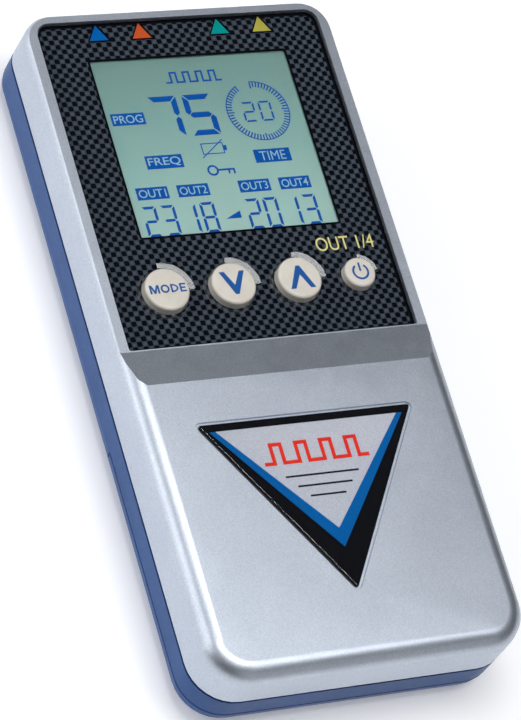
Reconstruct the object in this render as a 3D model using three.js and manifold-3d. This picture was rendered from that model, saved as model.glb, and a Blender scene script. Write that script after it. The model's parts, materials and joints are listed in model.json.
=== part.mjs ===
// Four-channel nerve and muscle stimulator (TENS unit) lying on its back. Millimetres, +Z up.
// Origin: centre of the footprint, on the resting face. +X is right, +Y points to the output sockets,
// +Z comes out of the display face.
import * as THREE from 'three';
import { mergeVertices } from 'three/addons/utils/BufferGeometryUtils.js';
import Module from 'manifold-3d';

const wasm = await Module();
wasm.setup();

// ---- Driving dimensions ----------------------------------------------------------------------
const GAP = 0.3; // clearance between neighbouring pieces
const WALL = 1.9; // case wall
const FLOOR = 1.8; // case back wall

// The case seen from the front: a rectangle whose lower corners are rounder than its upper ones.
const CASE = { halfWidth: 35.8, low: -77.5, high: 76.75, lowRadius: 9.5, highRadius: 7, steps: 8 };
const DECK_Z = 23; // top of the raised lower deck
const RIM_Z = 21.35; // top of the flat rim round the window
const DRAFT = 0.1; // the front shell leans in by this much
const TOP_FILLET = 3.9;
const BACK_FILLET = 4.5;
const SEAM_Z = 11.5; // where the two shells meet
const LIP_HEIGHT = 1.2; // the back shell's tongue, which stands inside the front shell
const LIP_THICKNESS = 0.7;
const SHADOW_LINE = { height: 0.45, depth: 0.5 }; // the step under the seam, all the way round
const RAMP_HIGH_Y = -3.9; // the ramp rises from the rim here
const RAMP_LOW_Y = -12.4; // to the lower deck here

const WINDOW = { halfWidth: 32.8, low: -3.65, high: 74.3, lowRadius: 0.6, highRadius: 3, steps: 4 };
const PANEL_THICKNESS = 1.2;
const PANEL_SINK = 0.5; // the printed panel lies this far below the rim
const PANEL_TOP_Z = RIM_Z - PANEL_SINK;
const PANEL_BOTTOM_Z = PANEL_TOP_Z - PANEL_THICKNESS;
const LEDGE_Z = PANEL_BOTTOM_Z - GAP; // the panel's seat
const LEDGE_THICKNESS = 1.5;
const LEDGE_BOTTOM_Z = LEDGE_Z - LEDGE_THICKNESS;
const LEDGE_END_Y = -9; // the thick ledge runs from the top end down to here

const BUTTON_Y = 9.3;
const BUTTON_TOP_Z = RIM_Z + 0.8;
const BUTTONS = [
  { name: 'mode', x: -20.9, radius: 4.85, dish: 6.75 },
  { name: 'down', x: -5.9, radius: 4.85, dish: 6.75 },
  { name: 'up', x: 9.2, radius: 4.85, dish: 6.75 },
  { name: 'power', x: 23.2, radius: 3.45, dish: 5 },
];
const DISH_DEPTH = 0.7;
const DISH_FLOOR = 0.35; // width of the flat ring at the bottom of a dish

const BADGE = { halfWidth: 24.3, topY: -22.4, apexY: -61.7, corner: 0.6 };
const BADGE_POCKET_DEPTH = 0.6;
const BADGE_PROUD = 0.4; // how far the dome stands above the deck
const BADGE_MARGIN = 0.6; // how far the pocket's edge stands off the badge's outline
const BADGE_CLEARANCE = 0.1; // the dome is smaller than its outline by this much
const BADGE_EDGE = 0.05; // height of the dome's upright edge above the deck
const BADGE_BEVEL = 0.35; // width of the dome's rounded edge

const LCD_CENTRE_Y = 43.1;
const LCD_FRAME = { halfWidth: 27, low: LCD_CENTRE_Y - 26.7, high: LCD_CENTRE_Y + 26.7 };
const LCD_GLASS = { halfWidth: 25.1, low: LCD_CENTRE_Y - 24.7, high: LCD_CENTRE_Y + 24.7 };
const LCD_GLASS_TOP_Z = PANEL_BOTTOM_Z - 0.4;
const LCD_GLASS_THICKNESS = 2.1;
const BACKLIGHT_THICKNESS = 2.5;
const BACKLIGHT_START = 3.4; // the backlight leaves this much of the glass free for the contact strip
const ZEBRA = { halfWidth: 22, from: 0.6, to: 2.6 }; // the contact strip, measured from the glass's edge

const BOARD = { halfWidth: 32.6, low: -14.2, high: 62, bottomZ: 11.4, thickness: 1.6 };
const BOARD_TOP_Z = BOARD.bottomZ + BOARD.thickness;
const ON_BOARD_Z = BOARD_TOP_Z + GAP;
const UNDER_BOARD_Z = BOARD.bottomZ - GAP;

const SOCKET_Z = 9.6; // height of the sockets' axis
const OUTPUT_X = [-19, -9.1, 9.1, 19];
const COLLAR_RADIUS = 3.4;
const SOCKET = { halfWidth: 4.2, length: 11.7, recess: 0.2 };
const CHARGE_PIN = { radius: 0.55, from: 9, to: 1.4 }; // from and to are depths below the case end

const CASE_SCREW_X = 30.2;
const CASE_SCREW_Y = [66, -10.5];
const COUNTERBORE_DEPTH = 6;
const SCREW_HOLE_RADIUS = 1.6; // clears a case screw's shank
const BOSS_CAP = 0.5; // a boss runs this far into the ledge, and its hole stops as far below
const BOARD_SCREW_X = 29.9;
const BOARD_SCREW_Y = [40, -1];
const BOARD_NOTCH_X = 26.3; // the board's lower corners are cut away from here outwards

const CELL = { radius: 7.15, length: 50.5, pitch: 14.8, axisZ: 9.45, nub: 1 };
const CELL_X = [-1.5, -0.5, 0.5, 1.5].map((place) => place * CELL.pitch);
const BAY = { halfWidth: 31.4, low: -74, high: -14.7, lowRadius: 6, highRadius: 1.5, steps: 4 };
const BAY_WALL = 1.5;
const BAY_BOTTOM_Z = 3.2;
const BAY_CEILING_Z = 17; // inside of the bay's roof
const BAY_TOP_Z = 18.4;
const CELL_LOW_Y = BAY.low + BAY_WALL + 2.9;
const CONTACT_THICKNESS = 0.4;
const TAB_HALF_WIDTH = 1.2; // the tab a battery lead is soldered to
const TAB_ROOM = 0.6; // clearance on each side of a tab

const DOOR_EDGE_Y = -18.4; // the door covers the back from here to the lower end
const DOOR_TOP_Z = 5; // and wraps this far up the sides and the end
const FLANGE_TOP_Z = 6.9; // the case is solid round the bay up to here
const RAIL = { inner: 31, outer: 32.9, low: -64, high: -20, height: 0.5 };
const HOOK = { inner: 32, outer: 34.3, halfLength: 2, y: [-58, -41, -24] };
const TONGUE = { halfWidth: 3.5, root: 2.5, tip: 1.6, top: 2.9 };
const GRIP = { halfWidth: 11, low: -33, high: -23, lowRadius: 3, highRadius: 3, steps: 3 };
const GRIP_DEPTH = 0.8;
const RIDGE = { count: 4, start: -31, pitch: 2, halfWidth: 0.35, halfLength: 8.5, bottom: 0.25 };

const OUTSIDE = 100; // beyond the case in any direction, for cutting

const FILLET_STEPS = 4;
const HOLLOW_FILLET_STEPS = 2;
const HOLLOW = { ...CASE, steps: 4 }; // the inner faces follow the case less finely

// ---- Solids ----------------------------------------------------------------------------------
// Turns a closed three.js geometry into a solid that can be joined and cut.
function solid(geometry) {
  const bare = geometry.clone();
  bare.deleteAttribute('normal');
  bare.deleteAttribute('uv');
  const merged = mergeVertices(bare, 1e-4);
  const vertProperties = new Float32Array(merged.attributes.position.array);
  const triVerts = new Uint32Array(merged.index.array);
  return new wasm.Manifold(new wasm.Mesh({ numProp: 3, vertProperties, triVerts }));
}

// A box from its lowest to its highest corner.
function box(x0, y0, z0, x1, y1, z1) {
  const geometry = new THREE.BoxGeometry(x1 - x0, y1 - y0, z1 - z0);
  geometry.translate((x0 + x1) / 2, (y0 + y1) / 2, (z0 + z1) / 2);
  return solid(geometry);
}

// An upright cylinder from z0 to z1.
function post(x, y, z0, z1, radius, sides = 16) {
  const geometry = new THREE.CylinderGeometry(radius, radius, z1 - z0, sides);
  geometry.rotateX(Math.PI / 2);
  geometry.translate(x, y, (z0 + z1) / 2);
  return solid(geometry);
}

// A cylinder along Y from y0 to y1.
function rod(x, z, y0, y1, radius, sides = 20) {
  const geometry = new THREE.CylinderGeometry(radius, radius, y1 - y0, sides);
  geometry.translate(x, (y0 + y1) / 2, z);
  return solid(geometry);
}

// A turned solid about an upright axis, from a profile of [radius, z] that starts and ends on it.
function turned(profile, sides) {
  const points = profile.map(([radius, z]) => new THREE.Vector2(radius, z));
  const geometry = new THREE.LatheGeometry(points, sides);
  geometry.rotateX(Math.PI / 2);
  return solid(geometry);
}

// The points of a rounded rectangle, anticlockwise, moved inwards by inset. Each corner is an arc of
// plan.steps chords.
function outline(plan, inset) {
  const x = plan.halfWidth - inset;
  const low = plan.low + inset;
  const high = plan.high - inset;
  const lowRadius = Math.max(plan.lowRadius - inset, 0.3);
  const highRadius = Math.max(plan.highRadius - inset, 0.3);
  const corners = [
    [x - highRadius, high - highRadius, highRadius, 0],
    [-x + highRadius, high - highRadius, highRadius, 1],
    [-x + lowRadius, low + lowRadius, lowRadius, 2],
    [x - lowRadius, low + lowRadius, lowRadius, 3],
  ];
  const points = [];
  for (const [cx, cy, radius, quarter] of corners) {
    for (let step = 0; step <= plan.steps; step += 1) {
      const angle = (quarter + step / plan.steps) * (Math.PI / 2);
      points.push([cx + radius * Math.cos(angle), cy + radius * Math.sin(angle)]);
    }
  }
  return points;
}

// A closed solid through the plan's outline at each level, a level being [inset, z], upwards.
function loft(plan, levels) {
  const rings = levels.map(([inset, z]) => outline(plan, inset).map(([x, y]) => [x, y, z]));
  const count = rings[0].length;
  const middle = (plan.low + plan.high) / 2;
  const lowCentre = count * rings.length;
  const highCentre = lowCentre + 1;
  const lastRing = count * (rings.length - 1);
  const index = [];
  for (let i = 0; i < count; i += 1) {
    const next = (i + 1) % count;
    for (let ring = 0; ring + 1 < rings.length; ring += 1) {
      const below = ring * count;
      const above = below + count;
      index.push(below + i, below + next, above + next);
      index.push(below + i, above + next, above + i);
    }
    index.push(lowCentre, next, i);
    index.push(highCentre, lastRing + i, lastRing + next);
  }
  const ends = [
    [0, middle, levels[0][1]],
    [0, middle, levels[levels.length - 1][1]],
  ];
  const geometry = new THREE.BufferGeometry();
  const positions = new Float32Array([...rings.flat(), ...ends].flat());
  geometry.setAttribute('position', new THREE.BufferAttribute(positions, 3));
  geometry.setIndex(index);
  return solid(geometry);
}

function plate(plan, z0, z1) {
  return loft(plan, [[0, z0], [0, z1]]);
}

// Levels of a quarter-round edge that leaves a wall at wallInset and meets a flat at edgeZ.
function filletLevels(edgeZ, radius, wallInset, steps, downwards) {
  const levels = [];
  for (let step = 0; step <= steps; step += 1) {
    const angle = (step / steps) * (Math.PI / 2);
    const inset = wallInset + radius * (1 - Math.cos(angle));
    const reach = radius * (1 - Math.sin(angle));
    levels.push([inset, downwards ? edgeZ + reach : edgeZ - reach]);
  }
  return downwards ? levels.reverse() : levels;
}

// A shape drawn in plan, from z0 up to z1.
function slab(shape, z0, z1, steps = 6) {
  const geometry = new THREE.ExtrudeGeometry(shape, {
    depth: z1 - z0,
    bevelEnabled: false,
    curveSegments: steps,
  });
  geometry.translate(0, 0, z0);
  return solid(geometry);
}

function union(parts) {
  return parts.reduce((sum, part) => sum.add(part));
}

// ---- The assembly ----------------------------------------------------------------------------
const unit = new THREE.Group();

function addMesh(name, body, look) {
  const { vertProperties, triVerts } = body.getMesh();
  const geometry = new THREE.BufferGeometry();
  geometry.setAttribute('position', new THREE.BufferAttribute(vertProperties, 3));
  geometry.setIndex(new THREE.BufferAttribute(triVerts, 1));
  geometry.computeVertexNormals();
  const mesh = new THREE.Mesh(geometry, new THREE.MeshStandardMaterial(look));
  mesh.name = name;
  unit.add(mesh);
  return mesh;
}

const LOOK = {
  silver: { color: 0xc3c8d0, roughness: 0.38, metalness: 0.55 },
  blue: { color: 0x4b6ea0, roughness: 0.45, metalness: 0 },
  print: { color: 0x20272e, roughness: 0.15, metalness: 0 },
  badge: { color: 0x1d1f24, roughness: 0.12, metalness: 0.1 },
  ivory: { color: 0xe1dccd, roughness: 0.4, metalness: 0 },
  blackPlastic: { color: 0x1b1b1d, roughness: 0.5, metalness: 0 },
  whitePlastic: { color: 0xe6e6e2, roughness: 0.5, metalness: 0 },
  glass: { color: 0x8fa8a2, roughness: 0.08, metalness: 0 },
  rubber: { color: 0xd08a9a, roughness: 0.8, metalness: 0 },
  board: { color: 0x1f6b3c, roughness: 0.5, metalness: 0 },
  steel: { color: 0xb8babd, roughness: 0.3, metalness: 1 },
  ferrite: { color: 0x35363a, roughness: 0.6, metalness: 0.1 },
  can: { color: 0xc9ccd0, roughness: 0.25, metalness: 1 },
  sleeve: { color: 0x26344a, roughness: 0.35, metalness: 0 },
  cell: { color: 0x2f6f5a, roughness: 0.3, metalness: 0.3 },
  redWire: { color: 0xb02222, roughness: 0.45, metalness: 0 },
  blackWire: { color: 0x161616, roughness: 0.45, metalness: 0 },
};

const CASE_SCREWS = CASE_SCREW_Y.flatMap((y) => [[-CASE_SCREW_X, y], [CASE_SCREW_X, y]]);
const BOARD_SCREWS = BOARD_SCREW_Y.flatMap((y) => [[-BOARD_SCREW_X, y], [BOARD_SCREW_X, y]]);

// ---- Case ------------------------------------------------------------------------------------
// Everything above the rim plane and above the ramp that climbs from it to the lower deck.
function deckCut() {
  const shape = new THREE.Shape();
  shape.moveTo(-OUTSIDE, RIM_Z);
  shape.lineTo(-RAMP_HIGH_Y, RIM_Z);
  shape.lineTo(-RAMP_LOW_Y, DECK_Z);
  shape.lineTo(-RAMP_LOW_Y, OUTSIDE);
  shape.lineTo(-OUTSIDE, OUTSIDE);
  const geometry = new THREE.ExtrudeGeometry(shape, { depth: 2 * OUTSIDE, bevelEnabled: false });
  geometry.rotateX(Math.PI / 2);
  geometry.rotateZ(-Math.PI / 2);
  geometry.translate(OUTSIDE, 0, 0);
  return solid(geometry);
}

// A round-cornered triangle pointing towards the lower end, grown outwards by margin.
function badgeShape(margin) {
  const corners = [
    new THREE.Vector2(-BADGE.halfWidth, BADGE.topY),
    new THREE.Vector2(0, BADGE.apexY),
    new THREE.Vector2(BADGE.halfWidth, BADGE.topY),
  ];
  const radius = BADGE.corner + margin;
  const shape = new THREE.Shape();
  corners.forEach((corner, i) => {
    const before = corners[(i + 2) % 3].clone().sub(corner).normalize();
    const after = corners[(i + 1) % 3].clone().sub(corner).normalize();
    const halfAngle = Math.acos(before.dot(after)) / 2;
    const bisector = before.clone().add(after).normalize();
    const centre = corner.clone().addScaledVector(bisector, BADGE.corner / Math.sin(halfAngle));
    const start = Math.atan2(before.x, -before.y);
    const sweep = Math.PI - 2 * halfAngle;
    const steps = 4;
    for (let step = 0; step <= steps; step += 1) {
      const angle = start + (sweep * step) / steps;
      const x = centre.x + radius * Math.cos(angle);
      const y = centre.y + radius * Math.sin(angle);
      if (i === 0 && step === 0) shape.moveTo(x, y);
      else shape.lineTo(x, y);
    }
  });
  return shape;
}

function frontShell() {
  const bottomZ = SEAM_Z + GAP / 2;
  let body = loft(CASE, [[0, bottomZ], ...filletLevels(DECK_Z, TOP_FILLET, DRAFT, FILLET_STEPS)]);
  const ceilingZ = DECK_Z - WALL;
  const hollow = loft(HOLLOW, [
    [WALL, bottomZ - 1],
    ...filletLevels(ceilingZ, TOP_FILLET - WALL, WALL + DRAFT, HOLLOW_FILLET_STEPS),
  ]);
  const ledge = box(-OUTSIDE, LEDGE_END_Y, LEDGE_BOTTOM_Z, OUTSIDE, OUTSIDE, DECK_Z);
  body = body.subtract(hollow.subtract(ledge));
  const lipRoom = loft(HOLLOW, [
    [WALL - LIP_THICKNESS - GAP, bottomZ - 1],
    [WALL - LIP_THICKNESS - GAP, SEAM_Z + LIP_HEIGHT + GAP],
  ]);
  body = body.subtract(lipRoom);
  body = body.subtract(deckCut());
  body = body.subtract(plate(WINDOW, LEDGE_Z, DECK_Z));
  body = body.subtract(slab(badgeShape(BADGE_MARGIN), DECK_Z - BADGE_POCKET_DEPTH, DECK_Z + 1));

  const lcdHole = { ...LCD_FRAME, lowRadius: 0.5, highRadius: 0.5, steps: 1 };
  body = body.subtract(loft(lcdHole, [[-GAP, LEDGE_BOTTOM_Z - 1], [-GAP, LEDGE_Z + 1]]));
  for (const { x, radius } of BUTTONS) {
    body = body.subtract(post(x, BUTTON_Y, LEDGE_BOTTOM_Z - 1, LEDGE_Z + 1, radius + GAP, 20));
  }
  for (const [x, y] of CASE_SCREWS) {
    body = body.add(post(x, y, SEAM_Z, LEDGE_BOTTOM_Z + BOSS_CAP, 2.8, 12));
    body = body.subtract(post(x, y, SEAM_Z - 1, LEDGE_BOTTOM_Z - BOSS_CAP, SCREW_HOLE_RADIUS, 6));
  }
  for (const [x, y] of BOARD_SCREWS) {
    body = body.add(post(x, y, ON_BOARD_Z, LEDGE_BOTTOM_Z + BOSS_CAP, 2.2, 10));
    body = body.subtract(post(x, y, ON_BOARD_Z - 1, LEDGE_BOTTOM_Z - BOSS_CAP, 1.2, 6));
  }
  return body.subtract(socketHoles());
}

// Round holes through the top end for the four output collars and the charging socket.
function socketHoles() {
  const startY = CASE.high - 2 * WALL;
  const holes = [...OUTPUT_X, 0].map((x) => rod(x, SOCKET_Z, startY, OUTSIDE, COLLAR_RADIUS + GAP));
  return union(holes);
}

function caseHollow(bottomZ) {
  const rounded = filletLevels(bottomZ, BACK_FILLET - WALL, WALL, HOLLOW_FILLET_STEPS, true);
  return loft(HOLLOW, [...rounded, [WALL, OUTSIDE]]);
}

// The back half of the case without its hollow, up to topZ.
function backBlock(topZ) {
  return loft(CASE, [...filletLevels(0, BACK_FILLET, 0, FILLET_STEPS, true), [0, topZ]]);
}

function backShell() {
  const topZ = SEAM_Z - GAP / 2;
  const stepZ = topZ - SHADOW_LINE.height;
  const step = loft(CASE, [[SHADOW_LINE.depth, stepZ - 1], [SHADOW_LINE.depth, topZ]]);
  const lip = loft(HOLLOW, [
    [WALL - LIP_THICKNESS, topZ - 1],
    [WALL - LIP_THICKNESS, SEAM_Z + LIP_HEIGHT],
  ]);
  let body = union([backBlock(stepZ), step, lip]);
  const overBay = box(-OUTSIDE, -OUTSIDE, -1, OUTSIDE, BAY.high, FLANGE_TOP_Z);
  body = body.subtract(caseHollow(FLOOR).subtract(overBay));

  // The door's room, then the battery bay that stands over it.
  const doorRoomEnd = DOOR_EDGE_Y + GAP;
  body = body.subtract(box(-OUTSIDE, -OUTSIDE, -1, OUTSIDE, doorRoomEnd, DOOR_TOP_Z + GAP));
  body = body.add(plate(BAY, BAY_BOTTOM_Z, BAY_TOP_Z));
  const ledgeTop = box(-OUTSIDE, doorRoomEnd, -1, OUTSIDE, 0, FLOOR);
  const bayHollow = loft(BAY, [[BAY_WALL, FLOOR / 4], [BAY_WALL, BAY_CEILING_Z]]);
  body = body.subtract(bayHollow.subtract(ledgeTop));
  const railTop = BAY_BOTTOM_Z + RAIL.height;
  const rail = box(RAIL.inner, RAIL.low, BAY_BOTTOM_Z, RAIL.outer, RAIL.high, railTop);
  body = body.add(rail).add(rail.mirror([1, 0, 0]));

  // Slots through the bay's roof for the tabs that the leads are soldered to.
  const slotHalf = TAB_HALF_WIDTH + TAB_ROOM;
  const slotY = BAY.low + BAY_WALL;
  for (const x of [CELL_X[0], CELL_X[3]]) {
    const slot = box(-slotHalf, -0.5, BAY_CEILING_Z - 1, slotHalf, 1.1, BAY_TOP_Z + 1);
    body = body.subtract(slot.translate([x, slotY, 0]));
  }

  for (const [x, y] of CASE_SCREWS) {
    body = body.add(post(x, y, 0.6, SEAM_Z - GAP, 3.5, 12));
    body = body.subtract(post(x, y, -1, COUNTERBORE_DEPTH, 2.7));
    body = body.subtract(post(x, y, 0, SEAM_Z + 1, SCREW_HOLE_RADIUS, 6));
  }
  return body.subtract(socketHoles());
}

function batteryDoor() {
  const beyond = box(-OUTSIDE, DOOR_EDGE_Y, -1, OUTSIDE, OUTSIDE, OUTSIDE);
  let body = backBlock(DOOR_TOP_Z).subtract(beyond).subtract(caseHollow(FLOOR));
  // Tongues that slip over the case floor, between the cells.
  const { halfWidth, root, tip, top } = TONGUE;
  const tongueRoot = box(-halfWidth, -root, FLOOR - 0.2, halfWidth, -0.2, top);
  const tongueTip = box(-halfWidth, -0.4, FLOOR + GAP, halfWidth, tip, top);
  for (const x of [-CELL.pitch, CELL.pitch]) {
    body = body.add(tongueRoot.add(tongueTip).translate([x, DOOR_EDGE_Y, 0]));
  }
  // Hooks that ride on the case rails.
  const hookBottom = BAY_BOTTOM_Z + RAIL.height + GAP;
  const hookTop = DOOR_TOP_Z - 0.1;
  for (const y of HOOK.y) {
    const hook = box(HOOK.inner, -HOOK.halfLength, hookBottom, HOOK.outer, HOOK.halfLength, hookTop);
    const placed = hook.translate([0, y, 0]);
    body = body.add(placed).add(placed.mirror([1, 0, 0]));
  }
  // A thumb grip: a shallow rounded recess with ridges across it.
  body = body.subtract(loft(GRIP, [[-0.5, -0.5], [0.3, GRIP_DEPTH]]));
  const { halfLength, halfWidth: halfRidge, bottom } = RIDGE;
  const ridge = box(-halfLength, -halfRidge, bottom, halfLength, halfRidge, GRIP_DEPTH + 0.2);
  for (let i = 0; i < RIDGE.count; i += 1) {
    body = body.add(ridge.translate([0, RIDGE.start + i * RIDGE.pitch, 0]));
  }
  return body;
}

// The printed window: a clear plate with a shallow dish round each button.
function windowPanel() {
  let body = loft(WINDOW, [[GAP, PANEL_BOTTOM_Z], [GAP, PANEL_TOP_Z]]);
  for (const { x, radius, dish } of BUTTONS) {
    body = body.subtract(post(x, BUTTON_Y, PANEL_BOTTOM_Z - 1, PANEL_TOP_Z + 1, radius + GAP, 20));
    const bowl = turned([
      [0, PANEL_TOP_Z - DISH_DEPTH],
      [radius + DISH_FLOOR, PANEL_TOP_Z - DISH_DEPTH],
      [dish, PANEL_TOP_Z],
      [dish, PANEL_TOP_Z + 1],
      [0, PANEL_TOP_Z + 1],
    ], 20);
    body = body.subtract(bowl.translate([x, BUTTON_Y, 0]));
  }
  return body;
}

function badge() {
  const bottomZ = DECK_Z - BADGE_POCKET_DEPTH + GAP;
  const geometry = new THREE.ExtrudeGeometry(badgeShape(-BADGE_CLEARANCE), {
    depth: DECK_Z + BADGE_EDGE - bottomZ,
    bevelThickness: BADGE_PROUD - BADGE_EDGE,
    bevelSize: BADGE_BEVEL,
    bevelOffset: -BADGE_BEVEL,
    bevelSegments: 3,
  });
  geometry.translate(0, 0, bottomZ);
  const belowBottom = box(-OUTSIDE, -OUTSIDE, -OUTSIDE, OUTSIDE, OUTSIDE, bottomZ);
  return solid(geometry).subtract(belowBottom);
}

addMesh('front_shell', frontShell(), LOOK.silver);
addMesh('back_shell', backShell(), LOOK.blue);
addMesh('battery_door', batteryDoor(), LOOK.blue);
addMesh('window_panel', windowPanel(), LOOK.print);
addMesh('badge', badge(), LOOK.badge);

// ---- Buttons and switches --------------------------------------------------------------------
const SWITCH_HEIGHT = 2.5;
const SWITCH_TOP_Z = ON_BOARD_Z + SWITCH_HEIGHT;
const CAP_BOTTOM_Z = SWITCH_TOP_Z + 0.95;
const STEM_RADIUS = 1.7;
const CAP_EDGE_RADIUS = 0.7;
const CAP_CROWN = 0.15;
const CAP_POST_RADIUS = 1.5; // the post that pushes the switch stem
const CAP_CEILING_Z = 19.6; // inside of the cap's top
const CAP_WALL = 1.2;
const CAP_FLANGE = 0.95; // how far the retaining flange stands out

// A hollow cap with a retaining flange below, a centre post and a rounded, slightly crowned top.
function buttonCap(radius) {
  const flangeTopZ = LEDGE_BOTTOM_Z - GAP;
  const profile = [
    [0, CAP_BOTTOM_Z],
    [CAP_POST_RADIUS, CAP_BOTTOM_Z],
    [CAP_POST_RADIUS, CAP_CEILING_Z],
    [radius - CAP_WALL, CAP_CEILING_Z],
    [radius - CAP_WALL, CAP_BOTTOM_Z],
    [radius + CAP_FLANGE, CAP_BOTTOM_Z],
    [radius + CAP_FLANGE, flangeTopZ],
    [radius, flangeTopZ],
  ];
  const edgeZ = BUTTON_TOP_Z - CAP_CROWN - CAP_EDGE_RADIUS;
  for (const turn of [0, Math.PI / 4, Math.PI / 2]) {
    const inset = CAP_EDGE_RADIUS * (1 - Math.cos(turn));
    profile.push([radius - inset, edgeZ + CAP_EDGE_RADIUS * Math.sin(turn)]);
  }
  profile.push([0, BUTTON_TOP_Z]);
  return turned(profile, 16);
}

// A surface-mounted push switch: square body, round well, two gull-wing legs on each side.
function switchBody() {
  const half = 3.1;
  let body = box(-half, -half, ON_BOARD_Z, half, half, SWITCH_TOP_Z);
  const leg = box(half - 0.3, -0.35, ON_BOARD_Z, half + 1, 0.35, ON_BOARD_Z + 0.3);
  for (const y of [-2.1, 2.1]) {
    const placed = leg.translate([0, y, 0]);
    body = body.add(placed).add(placed.mirror([1, 0, 0]));
  }
  return body.subtract(post(0, 0, ON_BOARD_Z + 0.4, SWITCH_TOP_Z + 1, STEM_RADIUS + GAP, 10));
}

function switchStem() {
  return post(0, 0, SWITCH_TOP_Z - 1, CAP_BOTTOM_Z - GAP, STEM_RADIUS, 10);
}

for (const { name, x, radius } of BUTTONS) {
  addMesh(`button_${name}`, buttonCap(radius), LOOK.ivory).position.set(x, BUTTON_Y, 0);
  addMesh(`switch_body_${name}`, switchBody(), LOOK.blackPlastic).position.set(x, BUTTON_Y, 0);
  addMesh(`switch_stem_${name}`, switchStem(), LOOK.whitePlastic).position.set(x, BUTTON_Y, 0);
}

// ---- Display stack ---------------------------------------------------------------------------
const LCD_GLASS_BOTTOM_Z = LCD_GLASS_TOP_Z - LCD_GLASS_THICKNESS;
const BACKLIGHT_TOP_Z = LCD_GLASS_BOTTOM_Z - GAP;
const BACKLIGHT_LOW_Y = LCD_GLASS.low + BACKLIGHT_START;

function lcdFrame() {
  const plan = { ...LCD_FRAME, lowRadius: 1, highRadius: 1, steps: 2 };
  const inside = { ...LCD_GLASS, lowRadius: 0, highRadius: 0, steps: 1 };
  const ring = plate(plan, ON_BOARD_Z, LCD_GLASS_TOP_Z);
  return ring.subtract(loft(inside, [[-GAP, ON_BOARD_Z - 1], [-GAP, LCD_GLASS_TOP_Z + 1]]));
}

function lcdPlate(low, bottomZ, topZ) {
  return box(-LCD_GLASS.halfWidth, low, bottomZ, LCD_GLASS.halfWidth, LCD_GLASS.high, topZ);
}

addMesh('lcd_frame', lcdFrame(), LOOK.whitePlastic);
addMesh('lcd_glass', lcdPlate(LCD_GLASS.low, LCD_GLASS_BOTTOM_Z, LCD_GLASS_TOP_Z), LOOK.glass);
const backlight = lcdPlate(BACKLIGHT_LOW_Y, BACKLIGHT_TOP_Z - BACKLIGHT_THICKNESS, BACKLIGHT_TOP_Z);
addMesh('lcd_backlight', backlight, LOOK.whitePlastic);
const zebra = box(-ZEBRA.halfWidth, ZEBRA.from, ON_BOARD_Z, ZEBRA.halfWidth, ZEBRA.to, BACKLIGHT_TOP_Z);
addMesh('zebra_strip', zebra.translate([0, LCD_GLASS.low, 0]), LOOK.rubber);

// ---- Board and what stands on it -------------------------------------------------------------
function mainBoard() {
  const { halfWidth, low, high, bottomZ } = BOARD;
  const below = bottomZ - 1;
  const above = BOARD_TOP_Z + 1;
  let body = box(-halfWidth, low, bottomZ, halfWidth, high, BOARD_TOP_Z);
  // Corner notches round two of the case-screw bosses.
  const notch = box(BOARD_NOTCH_X, low - 1, below, halfWidth + 1, CASE_SCREW_Y[1] + 4, above);
  body = body.subtract(notch).subtract(notch.mirror([1, 0, 0]));
  for (const [x, y] of BOARD_SCREWS) {
    body = body.subtract(post(x, y, below, above, 1.25, 6));
  }
  return body;
}

// A panel socket whose round collar passes through the case end; bore is [radius, depth] steps.
function socket(bores) {
  const { halfWidth, length, recess } = SOCKET;
  const back = CASE.high - WALL - GAP;
  const front = CASE.high - recess;
  const half = COLLAR_RADIUS - 0.2;
  let body = box(-halfWidth, back - length, SOCKET_Z - half, halfWidth, back, SOCKET_Z + half);
  body = body.add(rod(0, SOCKET_Z, back - 1, front, COLLAR_RADIUS));
  for (const [radius, depth] of bores) {
    body = body.subtract(rod(0, SOCKET_Z, front - depth, front + 1, radius, 12));
  }
  return body;
}

// A small pulse transformer: a ferrite core round a wound bobbin on a pin block.
function transformer() {
  const top = UNDER_BOARD_Z;
  const core = box(-5.6, -4.6, top - 8, 5.6, 4.6, top - 1.6);
  const bobbin = box(-3.2, -6.2, top - 7.2, 3.2, 6.2, top - 2.2);
  const base = box(-5, -6.2, top - 1.8, 5, 6.2, top);
  return union([core, bobbin, base]);
}

// A flat chip package with legs along two or four sides.
function chip(halfX, halfY, height, legsX, legsY, pitch) {
  const top = UNDER_BOARD_Z;
  let body = box(-halfX, -halfY, top - height, halfX, halfY, top - 0.15);
  const legHalf = pitch / 4;
  for (const side of [-1, 1]) {
    for (let i = 0; i < legsX; i += 1) {
      const x = (i - (legsX - 1) / 2) * pitch;
      const leg = box(x - legHalf, halfY - 0.2, top - 0.3, x + legHalf, halfY + 1, top);
      body = body.add(side < 0 ? leg.mirror([0, 1, 0]) : leg);
    }
    for (let i = 0; i < legsY; i += 1) {
      const y = (i - (legsY - 1) / 2) * pitch;
      const leg = box(halfX - 0.2, y - legHalf, top - 0.3, halfX + 1, y + legHalf, top);
      body = body.add(side < 0 ? leg.mirror([1, 0, 0]) : leg);
    }
  }
  return body;
}

// A crystal can: a flat capsule on a base plate.
function crystal() {
  const capsule = { halfWidth: 5.1, low: -1.9, high: 1.9, lowRadius: 1.89, highRadius: 1.89, steps: 3 };
  const top = UNDER_BOARD_Z;
  return plate(capsule, top - 3.5, top - 0.4).add(loft(capsule, [[-0.4, top - 0.5], [-0.4, top]]));
}

// A round sounder with a small hole in its face.
function buzzer() {
  const top = UNDER_BOARD_Z;
  const profile = [
    [0, top - 5.4],
    [1, top - 5.4],
    [1, top - 6.5],
    [5.6, top - 6.5],
    [6, top - 6.1],
    [6, top],
    [0, top],
  ];
  return turned(profile, 14);
}

// A drum-core inductor: two flanges with a winding between them.
function inductor() {
  const top = UNDER_BOARD_Z;
  const profile = [
    [0, top - 7],
    [4.5, top - 7],
    [4.5, top - 5.8],
    [3.8, top - 5.6],
    [3.8, top - 1.4],
    [4.5, top - 1.2],
    [4.5, top],
    [0, top],
  ];
  return turned(profile, 12);
}

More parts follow.
